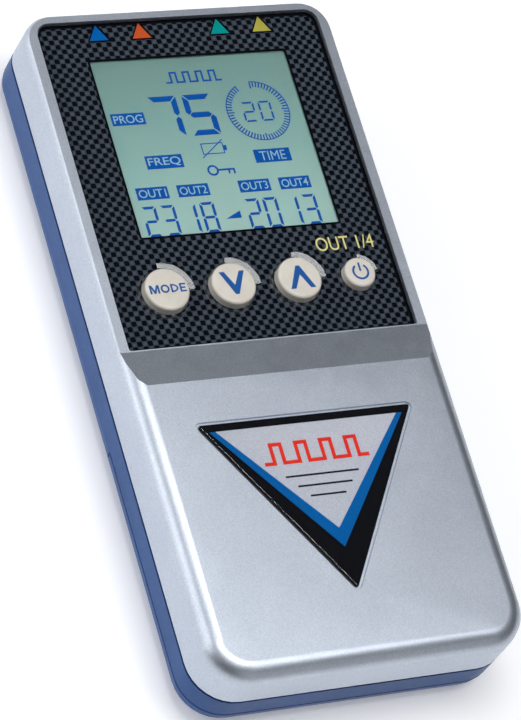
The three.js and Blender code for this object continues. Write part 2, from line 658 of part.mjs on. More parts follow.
// An electrolytic capacitor lying on its side, along X, with the crimp groove near one end.
function capacitor() {
  const radius = 4;
  const length = 11.5;
  const profile = [
    [0, 0],
    [radius - 0.4, 0],
    [radius, 0.4],
    [radius, 1.8],
    [radius - 0.35, 2.3],
    [radius, 2.8],
    [radius, length - 0.4],
    [radius - 0.4, length],
    [0, length],
  ];
  return turned(profile, 12).rotate([0, 90, 0]).translate([-length / 2, 0, UNDER_BOARD_Z - radius]);
}

addMesh('main_board', mainBoard(), LOOK.board);
OUTPUT_X.forEach((x, i) => {
  const jack = socket([[2.4, 0.8], [1.3, 10.5]]);
  addMesh(`output_jack_${i + 1}`, jack, LOOK.blackPlastic).position.x = x;
});
const pinStartY = CASE.high - CHARGE_PIN.from;
const chargePin = rod(0, SOCKET_Z, pinStartY, CASE.high - CHARGE_PIN.to, CHARGE_PIN.radius, 8);
addMesh('charge_socket', socket([[1.75, 8.5]]).add(chargePin), LOOK.blackPlastic);
[-21, -7, 7, 21].forEach((x, i) => {
  addMesh(`output_transformer_${i + 1}`, transformer(), LOOK.ferrite).position.set(x, 48, 0);
});
addMesh('microcontroller', chip(6, 6, 1.6, 4, 4, 2.4), LOOK.blackPlastic).position.set(-14, 20, 0);
addMesh('output_driver', chip(5.2, 3, 2, 5, 0, 1.9), LOOK.blackPlastic).position.set(3, 33, 0);
addMesh('crystal', crystal(), LOOK.can).position.set(1.5, 21, 0);
addMesh('buzzer', buzzer(), LOOK.blackPlastic).position.set(18, 20, 0);
addMesh('boost_inductor', inductor(), LOOK.ferrite).position.set(-18, 1, 0);
addMesh('storage_capacitor', capacitor(), LOOK.sleeve).position.set(13, 1, 0);

// ---- Screws ----------------------------------------------------------------------------------
// A pan-head screw pointing up, its head's bearing face at z = 0, with a cross recess below.
function screw(headRadius, headHeight, shankRadius, length) {
  const body = turned([
    [0, -headHeight],
    [headRadius * 0.8, -headHeight],
    [headRadius, -headHeight * 0.6],
    [headRadius, 0],
    [shankRadius, 0],
    [shankRadius, length - shankRadius],
    [0, length],
  ], 8);
  const reach = headRadius * 0.62;
  const slot = headRadius * 0.14;
  const depth = -headHeight * 0.45;
  const across = box(-reach, -slot, -headHeight - 1, reach, slot, depth);
  const along = box(-slot, -reach, -headHeight - 1, slot, reach, depth);
  return body.subtract(across.add(along));
}

CASE_SCREWS.forEach(([x, y], i) => {
  const place = addMesh(`case_screw_${i + 1}`, screw(2.3, 1.8, 1.25, 11), LOOK.steel).position;
  place.set(x, y, COUNTERBORE_DEPTH - GAP);
});
BOARD_SCREWS.forEach(([x, y], i) => {
  const place = addMesh(`board_screw_${i + 1}`, screw(1.8, 1.4, 0.85, 5.2), LOOK.steel).position;
  place.set(x, y, UNDER_BOARD_Z);
});

// ---- Battery cells and contacts --------------------------------------------------------------
// A cell along Y with its button end at +Y, or at -Y when turned round.
function cell(flip) {
  const { radius, length, nub } = CELL;
  const profile = [
    [0, 0],
    [radius - 0.5, 0],
    [radius, 0.5],
    [radius, length - nub - 0.5],
    [radius - 0.5, length - nub],
    [2.75, length - nub],
    [2.75, length],
    [0, length],
  ];
  const body = turned(profile, 16).rotate([-90, 0, 0]);
  return flip ? body.rotate([0, 0, 180]).translate([0, length, 0]) : body;
}

CELL_X.forEach((x, i) => {
  const place = addMesh(`battery_cell_${i + 1}`, cell(i % 2 === 0), LOOK.cell).position;
  place.set(x, CELL_LOW_Y, CELL.axisZ);
});

// A spring that tapers away from its plate. It starts at height 0 and grows along +Y.
class TaperedCoil extends THREE.Curve {
  constructor(turns, wideRadius, narrowRadius, height) {
    super();
    Object.assign(this, { turns, wideRadius, narrowRadius, height });
  }

  getPoint(t, target = new THREE.Vector3()) {
    const angle = t * this.turns * 2 * Math.PI;
    const radius = THREE.MathUtils.lerp(this.wideRadius, this.narrowRadius, t);
    return target.set(radius * Math.cos(angle), t * this.height, radius * Math.sin(angle));
  }
}

function coilSpring() {
  const wire = new THREE.Shape();
  wire.absarc(0, 0, 0.3, 0, 2 * Math.PI);
  const path = new TaperedCoil(2.5, 4, 2.4, 1.45);
  const options = { steps: 22, extrudePath: path, bevelEnabled: false, curveSegments: 3 };
  return solid(new THREE.ExtrudeGeometry(wire, options));
}

// A bay-end contact growing along +Y from its plate's back at y = 0. Each entry of ends gives the
// place of one cell's centre and whether it gets a spring or a flat pad.
function contact(ends, tabHeight) {
  const xs = ends.map(({ x }) => x);
  const reach = 4.4;
  const plateTop = CELL.axisZ + reach;
  const left = Math.min(...xs) - reach;
  const right = Math.max(...xs) + reach;
  let body = box(left, 0, CELL.axisZ - reach, right, CONTACT_THICKNESS, plateTop);
  for (const { x, spring } of ends) {
    const raised = spring
      ? coilSpring().translate([x, CONTACT_THICKNESS + 0.15, CELL.axisZ])
      : rod(x, CELL.axisZ, 0.1, CONTACT_THICKNESS + 1.2, 3.2, 12);
    body = body.add(raised);
  }
  if (tabHeight > 0) {
    const half = TAB_HALF_WIDTH;
    const tab = box(-half, 0, plateTop - 1, half, CONTACT_THICKNESS, tabHeight);
    body = body.add(tab.translate([xs[0], 0, 0]));
  }
  return body;
}

const CONTACT_LOW_Y = BAY.low + BAY_WALL + GAP;
const CONTACT_HIGH_Y = BAY.high - BAY_WALL - GAP;
const TAB_TOP_Z = BAY_TOP_Z + 1.6;

const pad = (place) => ({ x: CELL_X[place], spring: false });
const coil = (place) => ({ x: CELL_X[place], spring: true });

// At the bay's lower end.
function addLowContact(name, ends, tabHeight = 0) {
  addMesh(name, contact(ends, tabHeight).translate([0, CONTACT_LOW_Y, 0]), LOOK.steel);
}

// At the bay's upper end, facing back.
function addHighContact(name, ends) {
  const body = contact(ends, 0).mirror([0, 1, 0]);
  addMesh(name, body.translate([0, CONTACT_HIGH_Y, 0]), LOOK.steel);
}

addLowContact('contact_positive', [pad(0)], TAB_TOP_Z);
addLowContact('contact_negative', [coil(3)], TAB_TOP_Z);
addLowContact('contact_link_bottom', [coil(1), pad(2)]);
addHighContact('contact_link_top_1', [coil(0), pad(1)]);
addHighContact('contact_link_top_2', [coil(2), pad(3)]);

// A wire from a contact's tab, over the bay's roof, down to a pad on the board.
function batteryLead(side) {
  const wireRadius = 0.6;
  const overRoofZ = BAY_TOP_Z + GAP + wireRadius;
  const startY = CONTACT_LOW_Y + CONTACT_THICKNESS + GAP;
  const route = new THREE.CatmullRomCurve3([
    new THREE.Vector3(side * CELL_X[3], startY, overRoofZ),
    new THREE.Vector3(side * CELL_X[3], startY + 6, overRoofZ),
    new THREE.Vector3(side * 17, -50, overRoofZ),
    new THREE.Vector3(side * 15, -30, overRoofZ),
    new THREE.Vector3(side * 15, -14.4, overRoofZ),
    new THREE.Vector3(side * 15, -12, overRoofZ - 1.6),
    new THREE.Vector3(side * 15, -11.5, ON_BOARD_Z + 2),
    new THREE.Vector3(side * 15, -11.5, ON_BOARD_Z),
  ]);
  const wire = new THREE.Shape();
  wire.absarc(0, 0, wireRadius, 0, 2 * Math.PI);
  const options = { steps: 16, extrudePath: route, bevelEnabled: false, curveSegments: 3 };
  return solid(new THREE.ExtrudeGeometry(wire, options));
}

addMesh('battery_lead_positive', batteryLead(-1), LOOK.redWire);
addMesh('battery_lead_negative', batteryLead(1), LOOK.blackWire);

export default unit;
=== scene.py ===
"""The looks of a four-channel pulse stimulator lying on its back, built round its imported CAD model.

Metres, in the model's own frame: +X is right, +Y points to the output sockets and +Z comes out of
the display. Every piece keeps its object at the origin, so that a texture's object coordinates are
places in this frame.
"""
import json
import math
from contextlib import contextmanager

import bmesh
import bpy
from mathutils import Matrix, Vector


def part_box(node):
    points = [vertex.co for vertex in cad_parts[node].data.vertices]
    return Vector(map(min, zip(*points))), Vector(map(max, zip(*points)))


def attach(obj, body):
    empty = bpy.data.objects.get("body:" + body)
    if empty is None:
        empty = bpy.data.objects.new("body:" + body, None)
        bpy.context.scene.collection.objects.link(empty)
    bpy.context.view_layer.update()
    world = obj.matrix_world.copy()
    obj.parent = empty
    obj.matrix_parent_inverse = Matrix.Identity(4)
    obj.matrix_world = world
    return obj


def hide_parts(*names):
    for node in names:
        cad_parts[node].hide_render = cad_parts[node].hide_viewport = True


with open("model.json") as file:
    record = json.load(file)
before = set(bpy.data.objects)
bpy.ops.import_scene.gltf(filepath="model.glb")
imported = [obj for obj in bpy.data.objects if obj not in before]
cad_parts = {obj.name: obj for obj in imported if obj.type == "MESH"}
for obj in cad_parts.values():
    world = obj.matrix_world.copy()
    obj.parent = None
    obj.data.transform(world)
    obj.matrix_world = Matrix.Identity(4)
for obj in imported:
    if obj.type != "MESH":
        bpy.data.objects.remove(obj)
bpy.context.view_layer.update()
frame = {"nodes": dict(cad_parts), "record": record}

MM = 0.001

# ---- Places taken from the CAD model ----
PANEL_LOW, PANEL_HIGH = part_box("window_panel")
GLASS_LOW, GLASS_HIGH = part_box("lcd_glass")
BADGE_LOW, BADGE_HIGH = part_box("badge")
SHELL_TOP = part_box("front_shell")[1].z

# ---- Window ----
PANEL_LOW_RADIUS = 0.3 * MM
PANEL_HIGH_RADIUS = 2.7 * MM
PANEL_LEAST_RADIUS = 0.05 * MM  # of the lower corners, where an outline runs far inside them
PANEL_CHAMFER = 0.12 * MM
FILM_THICKNESS = 0.06 * MM  # the film printed on the underside of the clear window
FILM_INSET = 0.02 * MM  # keeps the film inside the window's outline
FILM_BORDER = 0.55 * MM  # plain black line round the weave print
EDGE_PAINT_WIDTH = 0.16 * MM  # how far the black paint behind the window's wall reaches in
EDGE_PAINT_DROP = 0.2 * MM  # from the window's face down to the paint
PRINT_X = 0.3 * MM  # the print's middle lies a little to the right of the case's
APERTURE = (
    PRINT_X - 22.65 * MM,
    GLASS_LOW.y + 4.05 * MM,
    PRINT_X + 22.65 * MM,
    GLASS_HIGH.y - 2.8 * MM,
)  # the clear part of the film over the display
APERTURE_BORDER = 0.5 * MM
APERTURE_CORNER = 0.25 * MM
WEAVE_CELL = 1.16 * MM
THREADS_PER_CELL = 10
TRIANGLE_X = 0.8 * PRINT_X  # the coloured triangles' shift from the sockets' middles
TRIANGLE_DROP = 3.9 * MM  # from the window's upper edge down to the triangles' base
TRIANGLE_SIZE = (4.3 * MM, 3.75 * MM)
SHADE_SIZE = (5.6 * MM, 4.9 * MM)  # of the black triangle behind each coloured one
SHADE_SHIFT = (0.1 * MM, -0.35 * MM)
DISH_SLOPE = 0.32  # fall of a dish over its width
DISH_FOOT = 0.35 * MM  # flat ring between a dish's hole and its sloping wall
DISH_BEND = 0.12 * MM  # how far a dish's bends reach to either side of their line
BEND_SAG = 0.01 * MM  # how far a bend's middle lies from the flat that it leaves
ROUND_STEPS = 64

# ---- Buttons ----
CAP_FLANGE = 0.95 * MM  # how much wider the retaining flange is than the cap
FLANGE_DROP = 5.45 * MM  # from the shell's top down to the flange's upper side
CAP_CLEARANCE = 0.3 * MM
# From the edge of each cap to the rim of the dish round it.
DISH_WIDTHS = {"mode": 1.9 * MM, "down": 1.9 * MM, "up": 1.9 * MM, "power": 1.55 * MM}
CAP_EDGE = 0.6 * MM
CAP_CROWN = 0.05 * MM
LEGEND_THICKNESS = 0.02 * MM
ARROW_SIZE = (5.7 * MM, 5.3 * MM)
ARROW_STROKE = 1.0 * MM
MODE_HEIGHT = 1.95 * MM
MODE_STEM = 0.4 * MM
MODE_GAP = 0.3 * MM
MODE_WIDTHS = {"M": 2.15 * MM, "O": 1.95 * MM, "D": 1.7 * MM, "E": 1.4 * MM}

# ---- Badge ----
BADGE_CORNER = 0.5 * MM
LABEL_GAP = 0.1 * MM  # from the badge's underside and sides to the label
LABEL_LAYER = 0.03 * MM  # how much each printed field stands over the one round it
LABEL_TOP_BAR = 1.7 * MM  # the black bar along the upper side
LABEL_CORNER = 0.1 * MM
# For each inner field: from the badge's upper corners in to the field's, and from its apex up.
LABEL_FIELDS = {"blue": (2.0 * MM, 8.85 * MM), "silver": (3.35 * MM, 13.05 * MM)}
TRACE_DROP = 8.4 * MM  # from the label's top bar down to the foot of its pulses
DOME_EDGE = 0.45 * MM  # width of the dome's rounded edge
DOME_LIFT = 0.02 * MM  # how far the foot of the rounded edge stands over the shell

# ---- Studio ----
FLOOR_HALF = 1.4
FLOOR_CORNER = 0.3
FLOOR_LEVELS = (-1.0 * MM, -0.1 * MM)  # just under the lowest point of the case
# The camera's place, its axes and its focal length in mm, from a perspective fit to the window
# and the edges of the case.
CAMERA_PLACE = (-0.3303, -0.3108, 0.6530)
CAMERA_RIGHT = (0.9025, -0.2697, 0.3357)
CAMERA_UP = (0.0892, 0.8797, 0.4670)
CAMERA_LENS = 189.27


def srgb(red, green, blue):
    """A display colour, 0 to 255, as the linear colour that Blender takes."""

    def linear(value):
        share = value / 255
        return share / 12.92 if share <= 0.04045 else ((share + 0.055) / 1.055) ** 2.4

    return (linear(red), linear(green), linear(blue))


LEGEND_BLUE = srgb(6, 86, 160)
SEGMENT_BLUE = srgb(4, 62, 130)
LABEL_BLUE = srgb(8, 84, 146)
LABEL_BLACK = srgb(14, 15, 19)
LABEL_SILVER = srgb(166, 170, 179)
PRINT_BLACK = srgb(5, 8, 15)
PALE_YELLOW = srgb(206, 198, 128)
TRIANGLE_COLOURS = {
    "output_jack_1": srgb(3, 86, 156),
    "output_jack_2": srgb(178, 76, 36),
    "output_jack_3": srgb(5, 132, 128),
    "output_jack_4": srgb(162, 154, 68),
}


# ---- Material helpers ----
def join(tree, socket, value):
    """Links value to the socket if it is an output, or sets it as the socket's own value."""
    if isinstance(value, bpy.types.NodeSocket):
        tree.links.new(value, socket)
    elif hasattr(value, "__len__") and len(value) == 3 and len(socket.default_value) == 4:
        socket.default_value = (*value, 1)
    else:
        socket.default_value = value


def node(tree, kind, inputs, **settings):
    """A new shader node of the kind, with its inputs linked or set and its settings made."""
    made = tree.nodes.new("ShaderNode" + kind)
    for name, value in settings.items():
        setattr(made, name, value)
    for name, value in inputs.items():
        join(tree, made.inputs[name], value)
    return made


def dress(shader, **inputs):
    """Links or sets the shader's inputs, whose names have _ for a space."""
    for name, value in inputs.items():
        join(shader.id_data, shader.inputs[name.replace("_", " ")], value)


def principled(name, **inputs):
    """A new material with the inputs set on its shader, as (material, tree, shader)."""
    material = bpy.data.materials.new(name)
    material.use_nodes = True
    tree = material.node_tree
    shader = tree.nodes["Principled BSDF"]
    dress(shader, **inputs)
    return material, tree, shader


def place(tree):
    """The shaded point's place in the model's frame."""
    return node(tree, "TexCoord", {}).outputs["Object"]


def noise(tree, size, detail=3.0, stretch=(1, 1, 1)):
    """Soft noise with features about size across, longer along an axis stretched below 1."""
    scaled = node(tree, "Mapping", {"Vector": place(tree), "Scale": stretch})
    inputs = {"Vector": scaled.outputs["Vector"], "Scale": 1 / size, "Detail": detail}
    return node(tree, "TexNoise", inputs).outputs["Fac"]


def grains(tree, size):
    """A random grey for each grain of about the size."""
    cells = node(tree, "TexVoronoi", {"Vector": place(tree), "Scale": 1 / size})
    return node(tree, "RGBToBW", {"Color": cells.outputs["Color"]}).outputs["Val"]


def ramp(tree, factor, *stops):
    """The colour at factor, from stops of (position, colour) in rising order."""
    made = node(tree, "ValToRGB", {"Fac": factor})
    elements = made.color_ramp.elements
    for position, _ in stops[1:-1]:
        elements.new(position)
    for element, (position, colour) in zip(elements, stops):
        element.position = position
        element.color = (*colour, 1)
    return made.outputs["Color"]


def span(tree, factor, low, high):
    """Factor, from 0 to 1, spread between low and high."""
    inputs = {"Value": factor, "To Min": low, "To Max": high}
    return node(tree, "MapRange", inputs).outputs["Result"]


def tones(tree, factor, low, high):
    """A soft change from one colour to the other about the middle of the factor."""
    return ramp(tree, factor, (0.3, low), (0.7, high))


def tinted(tree, first, second):
    """The product of two colours."""
    made = tree.nodes.new("ShaderNodeMix")
    made.data_type = "RGBA"
    made.blend_type = "MULTIPLY"
    sockets = {socket.identifier: socket for socket in made.inputs}
    join(tree, sockets["Factor_Float"], 1.0)
    join(tree, sockets["A_Color"], first)
    join(tree, sockets["B_Color"], second)
    return next(s for s in made.outputs if s.identifier == "Result_Color")


def calc(tree, operation, first, second=0.0):
    """The result of a Math node; MULTIPLY_ADD adds its own third value, a half."""
    made = node(tree, "Math", {}, operation=operation)
    join(tree, made.inputs[0], first)
    join(tree, made.inputs[1], second)
    return made.outputs["Value"]


def bump(tree, height, depth, strength=1.0):
    """A normal for a surface that rises by depth as height goes from 0 to 1."""
    inputs = {"Height": height, "Distance": depth, "Strength": strength}
    return node(tree, "Bump", inputs).outputs["Normal"]


# ---- Materials ----
def silver_paint():
    """Metallic silver paint with fine flakes, a little cloudier at palm scale."""
    material, tree, shader = principled("silver_paint", Metallic=0.96)
    dress(shader, Coat_Weight=0.08, Coat_Roughness=0.25)
    flakes = grains(tree, 0.12 * MM)
    colour = ramp(
        tree,
        flakes,
        (0.0, srgb(176, 184, 196)),
        (0.5, srgb(193, 201, 213)),
        (1.0, srgb(210, 218, 229)),
    )
    cloud = tones(tree, noise(tree, 16 * MM), (0.93, 0.93, 0.94), (1.0, 1.0, 1.0))
    dress(shader, Base_Color=tinted(tree, colour, cloud))
    dress(shader, Roughness=span(tree, noise(tree, 3 * MM), 0.4, 0.48))
    dress(shader, Normal=bump(tree, flakes, 0.008 * MM, 0.4))
    return material


def blue_plastic():
    """Moulded blue plastic with a fine spark-eroded grain."""
    material, tree, shader = principled("blue_plastic", Specular_IOR_Level=0.3)
    tone = noise(tree, 9 * MM)
    colour = ramp(tree, tone, (0.25, srgb(28, 72, 132)), (0.75, srgb(36, 82, 144)))
    dress(shader, Base_Color=colour, Roughness=span(tree, noise(tree, 1.2 * MM), 0.36, 0.52))
    dress(shader, Normal=bump(tree, noise(tree, 0.22 * MM, 4.0), 0.02 * MM, 0.6))
    return material


def clear_plastic(name, roughness, scuff_size):
    """Clear polished plastic that lets the lamps through to what lies under it."""
    material, tree, shader = principled(name, IOR=1.49, Specular_IOR_Level=0.75)
    dress(shader, Base_Color=(1, 1, 1), Transmission_Weight=1)
    scuffs = noise(tree, scuff_size, 5.0, (1, 0.25, 1))
    dress(shader, Roughness=span(tree, scuffs, 0, roughness))
    open_to_lamps = node(tree, "BsdfTransparent", {})
    shadow = node(tree, "LightPath", {}).outputs["Is Shadow Ray"]
    both = node(tree, "MixShader", {"Fac": shadow})
    tree.links.new(shader.outputs["BSDF"], both.inputs[1])
    tree.links.new(open_to_lamps.outputs["BSDF"], both.inputs[2])
    tree.links.new(both.outputs["Shader"], tree.nodes["Material Output"].inputs["Surface"])
    return material


def weave_print():
    """A printed plain weave: round-cornered black squares among grey ones, all of fine threads."""
    material, tree, shader = principled("weave_print", Roughness=0.5, Specular_IOR_Level=0.0)
    parts = node(tree, "SeparateXYZ", {"Vector": place(tree)})
    turns = math.pi / WEAVE_CELL
    across = calc(tree, "SINE", calc(tree, "MULTIPLY", parts.outputs["X"], turns))
    along = calc(tree, "SINE", calc(tree, "MULTIPLY", parts.outputs["Y"], turns))
    check = calc(tree, "MULTIPLY", across, along)
    fine = turns * THREADS_PER_CELL
    threads_x = calc(tree, "SINE", calc(tree, "MULTIPLY", parts.outputs["X"], fine))
    threads_y = calc(tree, "SINE", calc(tree, "MULTIPLY", parts.outputs["Y"], fine))
    threads = calc(tree, "MULTIPLY_ADD", threads_x, threads_y)
    square = ramp(
        tree,
        calc(tree, "MULTIPLY_ADD", check, 0.5),
        (0.0, srgb(66, 74, 83)),
        (0.5, srgb(48, 54, 62)),
        (0.56, srgb(6, 9, 16)),
        (1.0, srgb(4, 6, 12)),
    )
    ribs = calc(tree, "MULTIPLY_ADD", threads, 0.5)
    fibre = ramp(tree, ribs, (0.0, (0.8, 0.8, 0.8)), (1.0, (1.1, 1.1, 1.1)))
    speck = tones(tree, noise(tree, 0.5 * MM), (0.8, 0.8, 0.82), (1.15, 1.15, 1.15))
    shade = tinted(tree, square, fibre)
    dress(shader, Base_Color=tinted(tree, shade, speck))
    return material


def ink(name, colour, roughness=0.4, sheen=0.0):
    """Screen-printed ink: even, with faint speckle and a slightly uneven surface. Ink that lies in
    clear plastic has no sheen of its own."""
    material, tree, shader = principled(name, Specular_IOR_Level=sheen)
    dark = tuple(0.86 * part for part in colour)
    light = tuple(min(1.0, 1.06 * part) for part in colour)
    speckle = noise(tree, 0.3 * MM, 4.0)
    dress(shader, Base_Color=tones(tree, speckle, dark, light))
    dress(shader, Roughness=span(tree, speckle, roughness - 0.06, roughness + 0.06))
    dress(shader, Normal=bump(tree, speckle, 0.004 * MM, 0.4))
    return material


def display_ground():
    """Reflective display glass: pale green, with painted shade that darkens it towards the top, and a
    faint grain.
    """
    material, tree, shader = principled("display_ground", Roughness=0.5, Specular_IOR_Level=0.1)
    height = node(tree, "SeparateXYZ", {"Vector": place(tree)}).outputs["Y"]
    inputs = {"Value": height, "From Min": APERTURE[1], "From Max": APERTURE[3]}
    rise = node(tree, "MapRange", inputs).outputs["Result"]
    # painted shade: the ground's colour darkens from the display's lower edge to its upper edge
    field = ramp(
        tree,
        rise,
        (0.0, srgb(126, 154, 150)),
        (0.35, srgb(114, 144, 140)),
        (0.75, srgb(96, 126, 122)),
        (1.0, srgb(90, 118, 114)),
    )
    fine = noise(tree, 0.35 * MM, 4.0)
    grain = tones(tree, fine, (0.95, 0.95, 0.94), (1.0, 1.0, 1.0))
    patch = ramp(tree, noise(tree, 11 * MM), (0.35, (0.95, 0.98, 0.98)), (0.65, (1.0, 0.99, 0.96)))
    cloudy = tinted(tree, field, patch)
    dress(shader, Base_Color=tinted(tree, cloudy, grain))
    return material


def ivory_plastic():
    """Ivory button plastic, slightly translucent, with a fine satin texture."""
    material, tree, shader = principled("ivory_plastic", Subsurface_Weight=0.12)
    dress(shader, Subsurface_Radius=(0.9 * MM, 0.7 * MM, 0.45 * MM), Subsurface_Scale=1.0)
    tone = noise(tree, 2.6 * MM)
    colour = tones(tree, tone, srgb(214, 208, 197), srgb(222, 217, 207))
    dress(shader, Base_Color=colour, Roughness=span(tree, tone, 0.32, 0.44))
    dress(shader, Normal=bump(tree, noise(tree, 0.12 * MM, 3.0), 0.006 * MM, 0.5))
    return material


def moulded(name, low, high, roughness=0.5):
    """Plain moulded plastic between two tones, with a light grain."""
    material, tree, shader = principled(name)
    colour = tones(tree, noise(tree, 3 * MM), low, high)
    wear = span(tree, noise(tree, 0.8 * MM), roughness - 0.08, roughness + 0.08)
    dress(shader, Base_Color=colour, Roughness=wear)
    dress(shader, Normal=bump(tree, noise(tree, 0.18 * MM), 0.01 * MM, 0.5))
    return material


def metal(name, low, high, roughness, stretch=(1, 1, 1)):
    """Bare metal with a fine grain, drawn out along an axis stretched below 1."""
    material, tree, shader = principled(name, Metallic=1.0)
    lines = noise(tree, 0.25 * MM, 4.0, stretch)
    colour = tones(tree, noise(tree, 2.5 * MM), low, high)
    polish = span(tree, lines, roughness - 0.08, roughness + 0.1)
    dress(shader, Base_Color=colour, Roughness=polish)
    dress(shader, Normal=bump(tree, lines, 0.008 * MM, 0.5))
    return material


def circuit_board():
    """Green solder mask with lighter copper tracks showing under it."""
    material, tree, shader = principled("circuit_board", Roughness=0.32)
    inputs = {
        "Vector": place(tree),
        "Scale": 1 / (5 * MM),
        "Color1": srgb(22, 92, 54),
        "Color2": srgb(26, 100, 60),
        "Mortar": srgb(60, 140, 84),
        "Mortar Size": 0.035,
    }
    tracks = node(tree, "TexBrick", inputs)
    weave = tones(tree, noise(tree, 0.4 * MM), (0.88, 0.88, 0.88), (1.0, 1.0, 1.0))
    colour = tinted(tree, tracks.outputs["Color"], weave)
    dress(shader, Base_Color=colour)
    dress(shader, Normal=bump(tree, tracks.outputs["Fac"], 0.03 * MM, 0.6))
    return material


def cell_jacket(name, negative_y, positive_y):
    """A battery cell's printed sleeve: metallic green, with a copper band at its button end."""
    material, tree, shader = principled(name, Metallic=0.6, Roughness=0.28)
    along = node(tree, "SeparateXYZ", {"Vector": place(tree)}).outputs["Y"]
    share = node(tree, "MapRange", {"Value": along, "From Min": negative_y, "From Max": positive_y})
    bands = ramp(
        tree,
        share.outputs["Result"],
        (0.0, srgb(196, 198, 202)),
        (0.03, srgb(34, 112, 84)),
        (0.66, srgb(28, 100, 76)),
        (0.68, srgb(196, 122, 66)),
        (0.95, srgb(186, 112, 60)),
        (0.97, srgb(196, 198, 202)),
    )
    sheen = tones(tree, noise(tree, 1.4 * MM), (0.9, 0.9, 0.9), (1.0, 1.0, 1.0))
    dress(shader, Base_Color=tinted(tree, bands, sheen))
    return material


def floor_finish():
    """Pale matt light table, faintly lit from below."""
    material, tree, shader = principled("floor_paper", Roughness=0.85, Emission_Strength=0.26)
    tone = noise(tree, 60 * MM)
    colour = ramp(tree, tone, (0.2, srgb(243, 244, 246)), (0.8, srgb(247, 248, 250)))
    dress(shader, Base_Color=colour)
    return material


CELL_LOW, CELL_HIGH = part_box("battery_cell_1")
DRAWN_Z = (1, 1, 0.1)  # a grain ten times as long along Z
SLOT_FINISH = {
    "silver_paint": silver_paint(),
    "blue_plastic": blue_plastic(),
    "printed_acrylic": weave_print(),
    "badge_resin": ink("badge_black", LABEL_BLACK),
    "ivory_plastic": ivory_plastic(),
    "black_plastic": moulded("black_plastic", srgb(24, 24, 26), srgb(33, 33, 36)),
    "white_plastic": moulded("white_plastic", srgb(222, 222, 216), srgb(234, 234, 228)),
    "lcd_glass": display_ground(),
    "pink_rubber": moulded("pink_rubber", srgb(198, 128, 142), srgb(214, 146, 158), 0.75),
    "circuit_board": circuit_board(),
    "metal_can": metal("metal_can", srgb(196, 199, 204), srgb(214, 216, 220), 0.3),
    "ferrite": moulded("ferrite", srgb(48, 49, 53), srgb(66, 67, 72), 0.65),
    "sleeved_can": moulded("sleeved_can", srgb(28, 42, 66), srgb(38, 54, 80), 0.32),
    "cell_jacket": cell_jacket("cell_jacket", CELL_LOW.y, CELL_HIGH.y),
    "contact_steel": metal("contact_steel", srgb(186, 188, 190), srgb(208, 209, 212), 0.28, DRAWN_Z),
    "screw_steel": metal("screw_steel", srgb(150, 152, 156), srgb(184, 186, 190), 0.34),
    "red_wire": moulded("red_wire", srgb(170, 26, 28), srgb(190, 36, 36), 0.4),
    "black_wire": moulded("black_wire", srgb(20, 20, 21), srgb(28, 28, 30), 0.4),
}

# The cells that lie with their button end towards the lower end of the case.
TURNED_JACKET = cell_jacket("cell_jacket_turned", CELL_HIGH.y, CELL_LOW.y)
NODE_FINISH = {"battery_cell_1": TURNED_JACKET, "battery_cell_3": TURNED_JACKET}


# ---- Outlines ----
def arc(x, y, radius, start, end, steps, height=None):
    """Points round x, y from the start angle to the end angle, in degrees. A height other than the
    radius makes the arc part of an oval."""
    height = radius if height is None else height
    turns = [math.radians(start + (end - start) * step / steps) for step in range(steps + 1)]
    return [(x + radius * math.cos(turn), y + height * math.sin(turn)) for turn in turns]


def circle(x, y, radius, steps=ROUND_STEPS):
    return arc(x, y, radius, 0, 360, steps)[:-1]


def arc_band(x, y, outer, inner, start, end, steps):
    """A closed outline between two radii, from the start angle to the end angle, in degrees."""
    return arc(x, y, outer, start, end, steps) + arc(x, y, inner, end, start, steps)


def rectangle(x0, y0, x1, y1):
    return [(x0, y0), (x1, y0), (x1, y1), (x0, y1)]


def rounded_rectangle(x0, y0, x1, y1, low_radius, high_radius, steps=8):
    """A rectangle with one radius at its two lower corners and another at its upper ones."""
    return [
        *arc(x1 - high_radius, y1 - high_radius, high_radius, 0, 90, steps),
        *arc(x0 + high_radius, y1 - high_radius, high_radius, 90, 180, steps),
        *arc(x0 + low_radius, y0 + low_radius, low_radius, 180, 270, steps),
        *arc(x1 - low_radius, y0 + low_radius, low_radius, 270, 360, steps),
    ]


def stroke(points, width):
    """The outline of a line of the width through the points, mitred at all but the sharpest bends."""
    path = [Vector(point) for point in points]
    left, right = [], []
    for i, corner in enumerate(path):
        before = (corner - path[i - 1]).normalized() if i else (path[1] - corner).normalized()
        after = (path[i + 1] - corner).normalized() if i + 1 < len(path) else before
        across = Vector((-before.y - after.y, before.x + after.x)).normalized()
        reach = width / 2 / max(across.dot(Vector((-before.y, before.x))), 0.3)
        left.append(tuple(corner + across * reach))
        right.append(tuple(corner - across * reach))
    return left + right[::-1]


def pulse_points(x, y, pitch, pulse, height, beats):
    """A row of square pulses that starts at x, y, as the points of one line."""
    points = []
    for beat in range(beats):
        start = x + beat * pitch
        points += [(start, y), (start, y + height), (start + pulse, y + height), (start + pulse, y)]
    first, last = points[0], points[-1]
    return [(first[0] - pulse, y), *points, (last[0] + pulse, y)]


# ---- Meshes ----
def scene_object(name, data):
    """A new object in the scene, at the origin."""
    obj = bpy.data.objects.new(name, data)
    bpy.context.scene.collection.objects.link(obj)
    return obj


@contextmanager
def edited(mesh):
    """The mesh as an editable copy, written back to it at the end."""
    work = bmesh.new()
    work.from_mesh(mesh)
    yield work
    work.to_mesh(mesh)
    work.free()


def even_shading(obj):
    """Weights the object's normals by the area of its faces, so that flat faces shade flat."""
    even = obj.modifiers.new("even_shading", "WEIGHTED_NORMAL")
    even.weight = 100
    even.keep_sharp = True


def placed(mesh, name, body, material, smooth_angle=35):
    """An object made of the mesh, riding on the body, shaded smooth where it turns gently."""
    obj = scene_object(name, mesh)
    mesh.materials.clear()
    mesh.materials.append(material)
    mesh.shade_smooth()
    mesh.set_sharp_from_angle(angle=math.radians(smooth_angle))
    even_shading(obj)
    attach(obj, body)
    return obj


